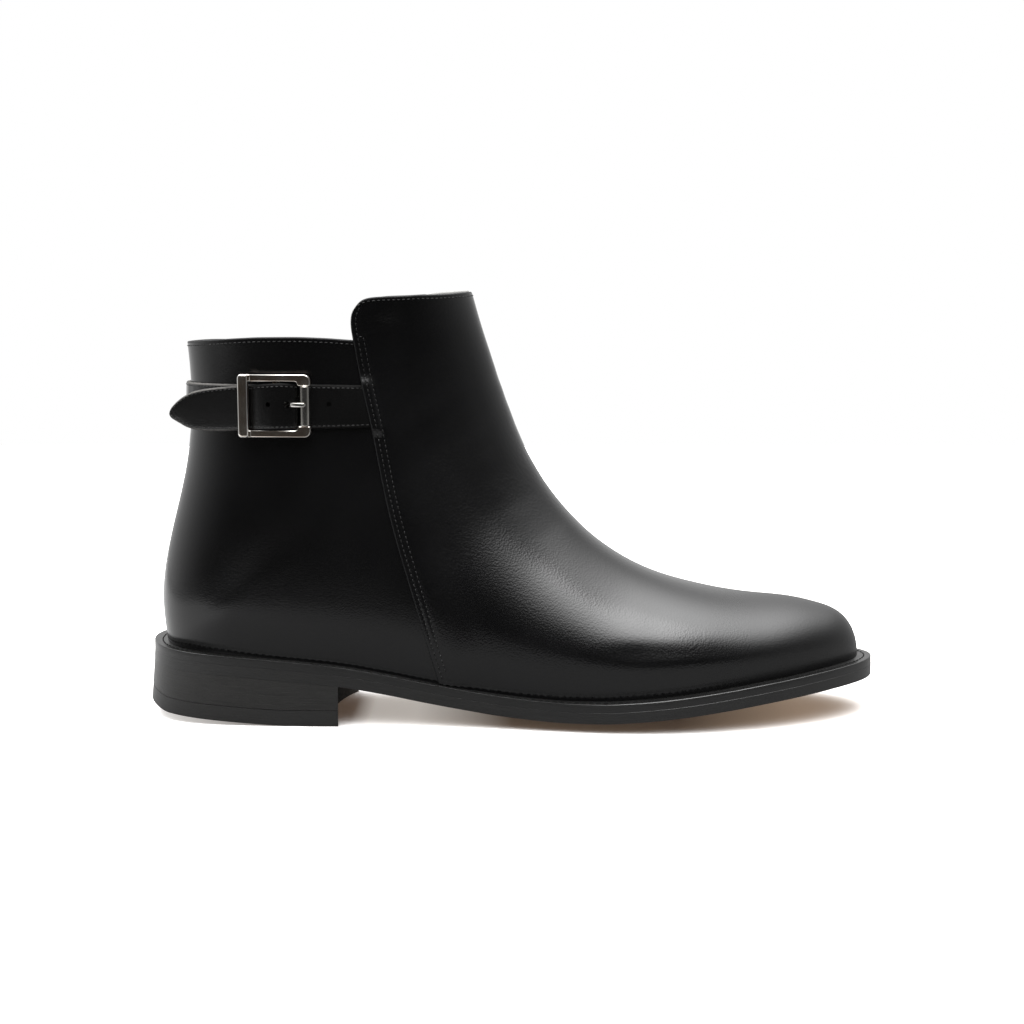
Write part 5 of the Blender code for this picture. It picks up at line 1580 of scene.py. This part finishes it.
tools = []
hole_rings = []
for k, u in enumerate(HOLES_U):
    p, n = strap_point(u), on_girth(A_BUCKLE + u)[1]
    e = np.array([0, 0, 1.0])
    f3 = np.array([-n[1], n[0], 0.0])
    z0 = STRAP_Z + 0.4
    circle = np.array([e * math.cos(2 * math.pi * i / 20) + f3 * math.sin(2 * math.pi * i / 20) for i in range(20)])
    a3, b3 = np.array([*(p - n * 4.0), z0]), np.array([*(p + n * 4.0), z0])
    tools.append(drill(strap, a3 + circle * HOLE_R, b3 + circle * HOLE_R, "hole_%d" % k))
slot_out = rounded([(4.0, -0.65, 1.1), (7.9, -0.65, 1.1), (7.9, 1.75, 1.1), (4.0, 1.75, 1.1)], 5)
tools.append(drill(strap, np.array([at_buckle(u, v, 1.0) for u, v in slot_out]), np.array([at_buckle(u, v, 9.0) for u, v in slot_out]), "prong_slot"))
deps = bpy.context.evaluated_depsgraph_get()
cut = bpy.data.meshes.new_from_object(strap.evaluated_get(deps), preserve_all_data_layers=True, depsgraph=deps)
strap.modifiers.clear()
strap.data = cut
for t in tools:
    bpy.data.objects.remove(t, do_unlink=True)
sharp(strap, 50.0)
done(strap, "strap_leather", "strap")
paths = [strap_row(1.25, True), strap_row(1.25, False), back_row(1.25, True), back_row(1.25, False)]
V, F = stitch_row(paths, 1.9, 1.2, 0.20)
done(make("stitches_strap", V, F, THREAD), "strap_leather", "strap", "buckle_strap")

# --------------------------------------------------------- floor and lights
TABLE_X, TABLE_Y = (-0.95, 0.95), (-0.37, 1.30)      # pale table, m
SKY, SKY_FRONT = 8.8, 11.2                           # scrim over the shoe, and where it comes down in front
ROOM_FRONT, ROOM_BACK, ROOM_TOE = 0.05, 0.80, 0.10   # studio on the near side, behind, and in front past the toe

floor_mat, nt, b = new_mat("floor_white")
tone = noise(nt, coords(nt), 3.0, 2.0)
place = nt.nodes.new("ShaderNodeSeparateXYZ")
nt.links.new(coords(nt), place.inputs["Vector"])
painted_light_pool = node(nt, "ShaderNodeMath", operation="MULTIPLY")       # painted pool of light: the table's colour lighter behind the heel
for k, (lo, hi) in enumerate(((-0.11, -0.25), (-0.80, -0.42))):
    near = node(nt, "ShaderNodeMapRange", interpolation_type="SMOOTHSTEP")
    near.inputs["From Min"].default_value, near.inputs["From Max"].default_value = lo, hi
    nt.links.new(place.outputs["X"], near.inputs["Value"])
    nt.links.new(near.outputs["Result"], painted_light_pool.inputs[k])
nt.links.new(ramp(nt, painted_light_pool.outputs[0], ((0.0, (0.132, 0.132, 0.132)), (1.0, (0.31, 0.31, 0.31)))), b.inputs["Base Color"])
b.inputs["Roughness"].default_value = 0.9
b.inputs["Specular IOR Level"].default_value = 0.0
painted_light_floor = nt.nodes.new("ShaderNodeBsdfPrincipled")      # the table as the camera sees it: a lighter copy of its colour, painted light, that also glows
nt.links.new(ramp(nt, tone, ((0.0, (0.63, 0.63, 0.63)), (1.0, (0.66, 0.66, 0.66)))), painted_light_floor.inputs["Base Color"])
painted_light_floor.inputs["Roughness"].default_value = 0.9
painted_light_floor.inputs["Specular IOR Level"].default_value = 0.0
along = nt.nodes.new("ShaderNodeMapRange")
along.inputs["From Min"].default_value, along.inputs["From Max"].default_value = -0.140, 0.140
nt.links.new(place.outputs["X"], along.inputs["Value"])
nt.links.new(ramp(nt, along.outputs["Result"], (              # painted shadow and light, glowing from the table along its length: darkest at the breast and the ball, lighter under the arch, towards the toe and behind the heel
    (0.00, (0.62, 0.60, 0.58)), (0.21, (0.045, 0.030, 0.020)), (0.265, (0.075, 0.050, 0.036)), (0.295, (0.40, 0.37, 0.34)),
    (0.36, (0.42, 0.39, 0.36)), (0.50, (0.070, 0.050, 0.036)), (0.74, (0.050, 0.034, 0.024)), (0.92, (0.21, 0.15, 0.105)))),
    painted_light_floor.inputs["Emission Color"])
painted_light_floor.inputs["Emission Strength"].default_value = 1.0
ray = nt.nodes.new("ShaderNodeLightPath")
two = nt.nodes.new("ShaderNodeMixShader")
nt.links.new(ray.outputs["Is Camera Ray"], two.inputs["Fac"])
nt.links.new(b.outputs[0], two.inputs[1])
nt.links.new(painted_light_floor.outputs[0], two.inputs[2])
nt.links.new(two.outputs[0], nt.nodes["Material Output"].inputs["Surface"])
me = bpy.data.meshes.new("floor")
me.from_pydata([(TABLE_X[0], TABLE_Y[0], -0.0002), (TABLE_X[1], TABLE_Y[0], -0.0002), (TABLE_X[1], TABLE_Y[1], -0.0002),
                (TABLE_X[0], TABLE_Y[1], -0.0002)], [], [[0, 1, 2, 3]])
me.materials.append(floor_mat)
floor = bpy.data.objects.new("floor", me)
scene.collection.objects.link(floor)

world = bpy.data.worlds.new("studio")
scene.world = world
world.use_nodes = True
nt = world.node_tree
for n in list(nt.nodes):
    nt.nodes.remove(n)
seen = nt.nodes.new("ShaderNodeBackground")
seen.inputs["Color"].default_value = (1, 1, 1, 1)
seen.inputs["Strength"].default_value = 1.0
lit = nt.nodes.new("ShaderNodeBackground")
lit.inputs["Color"].default_value = (1, 1, 1, 1)
way = nt.nodes.new("ShaderNodeTexCoord")
split = nt.nodes.new("ShaderNodeSeparateXYZ")
nt.links.new(way.outputs["Generated"], split.inputs["Vector"])


def between(src, lo, hi, a, b, curve="SMOOTHSTEP"):
    r = nt.nodes.new("ShaderNodeMapRange")
    r.interpolation_type = curve
    for k, v in (("From Min", lo), ("From Max", hi), ("To Min", a), ("To Max", b)):
        r.inputs[k].default_value = v
    nt.links.new(src, r.inputs["Value"])
    return r.outputs["Result"]


def maths(operation, *args):
    n = nt.nodes.new("ShaderNodeMath")
    n.operation = operation
    for i, a in enumerate(args):
        if isinstance(a, (int, float)):
            n.inputs[i].default_value = a
        else:
            nt.links.new(a, n.inputs[i])
    return n.outputs[0]


overhead = maths("MULTIPLY", maths("POWER", between(split.outputs["Z"], 0.42, 1.02, 0.0, 1.0, "LINEAR"), 2.0),
                 between(split.outputs["X"], 0.30, 0.80, SKY, 0.52 * SKY))
across = between(maths("ABSOLUTE", maths("ADD", split.outputs["X"], 0.06)), 0.26, 0.54, SKY_FRONT, 0.0)
facing = between(split.outputs["Y"], 0.30, -0.05, 0.0, 1.0)
ahead = maths("MULTIPLY", between(split.outputs["Z"], 0.31, 1.0, 0.0, 1.0), maths("MULTIPLY", across, facing))
scrim = maths("MAXIMUM", overhead, ahead)
room = maths("MULTIPLY", between(split.outputs["Y"], -0.85, 0.50, ROOM_FRONT, ROOM_BACK), between(split.outputs["X"], 0.1, 0.9, 1.0, 0.68))
low = maths("MULTIPLY", between(split.outputs["X"], 0.20, 0.55, 0.0, ROOM_TOE),
            maths("MULTIPLY", between(split.outputs["Z"], 0.0, 0.35, 0.0, 1.0), between(split.outputs["Y"], -0.15, -0.40, 0.0, 1.0)))
nt.links.new(maths("ADD", scrim, maths("ADD", room, low)), lit.inputs["Strength"])
path_n = nt.nodes.new("ShaderNodeLightPath")
mix = nt.nodes.new("ShaderNodeMixShader")
end = nt.nodes.new("ShaderNodeOutputWorld")
nt.links.new(path_n.outputs["Is Camera Ray"], mix.inputs["Fac"])
nt.links.new(lit.outputs[0], mix.inputs[1])
nt.links.new(seen.outputs[0], mix.inputs[2])
nt.links.new(mix.outputs[0], end.inputs["Surface"])
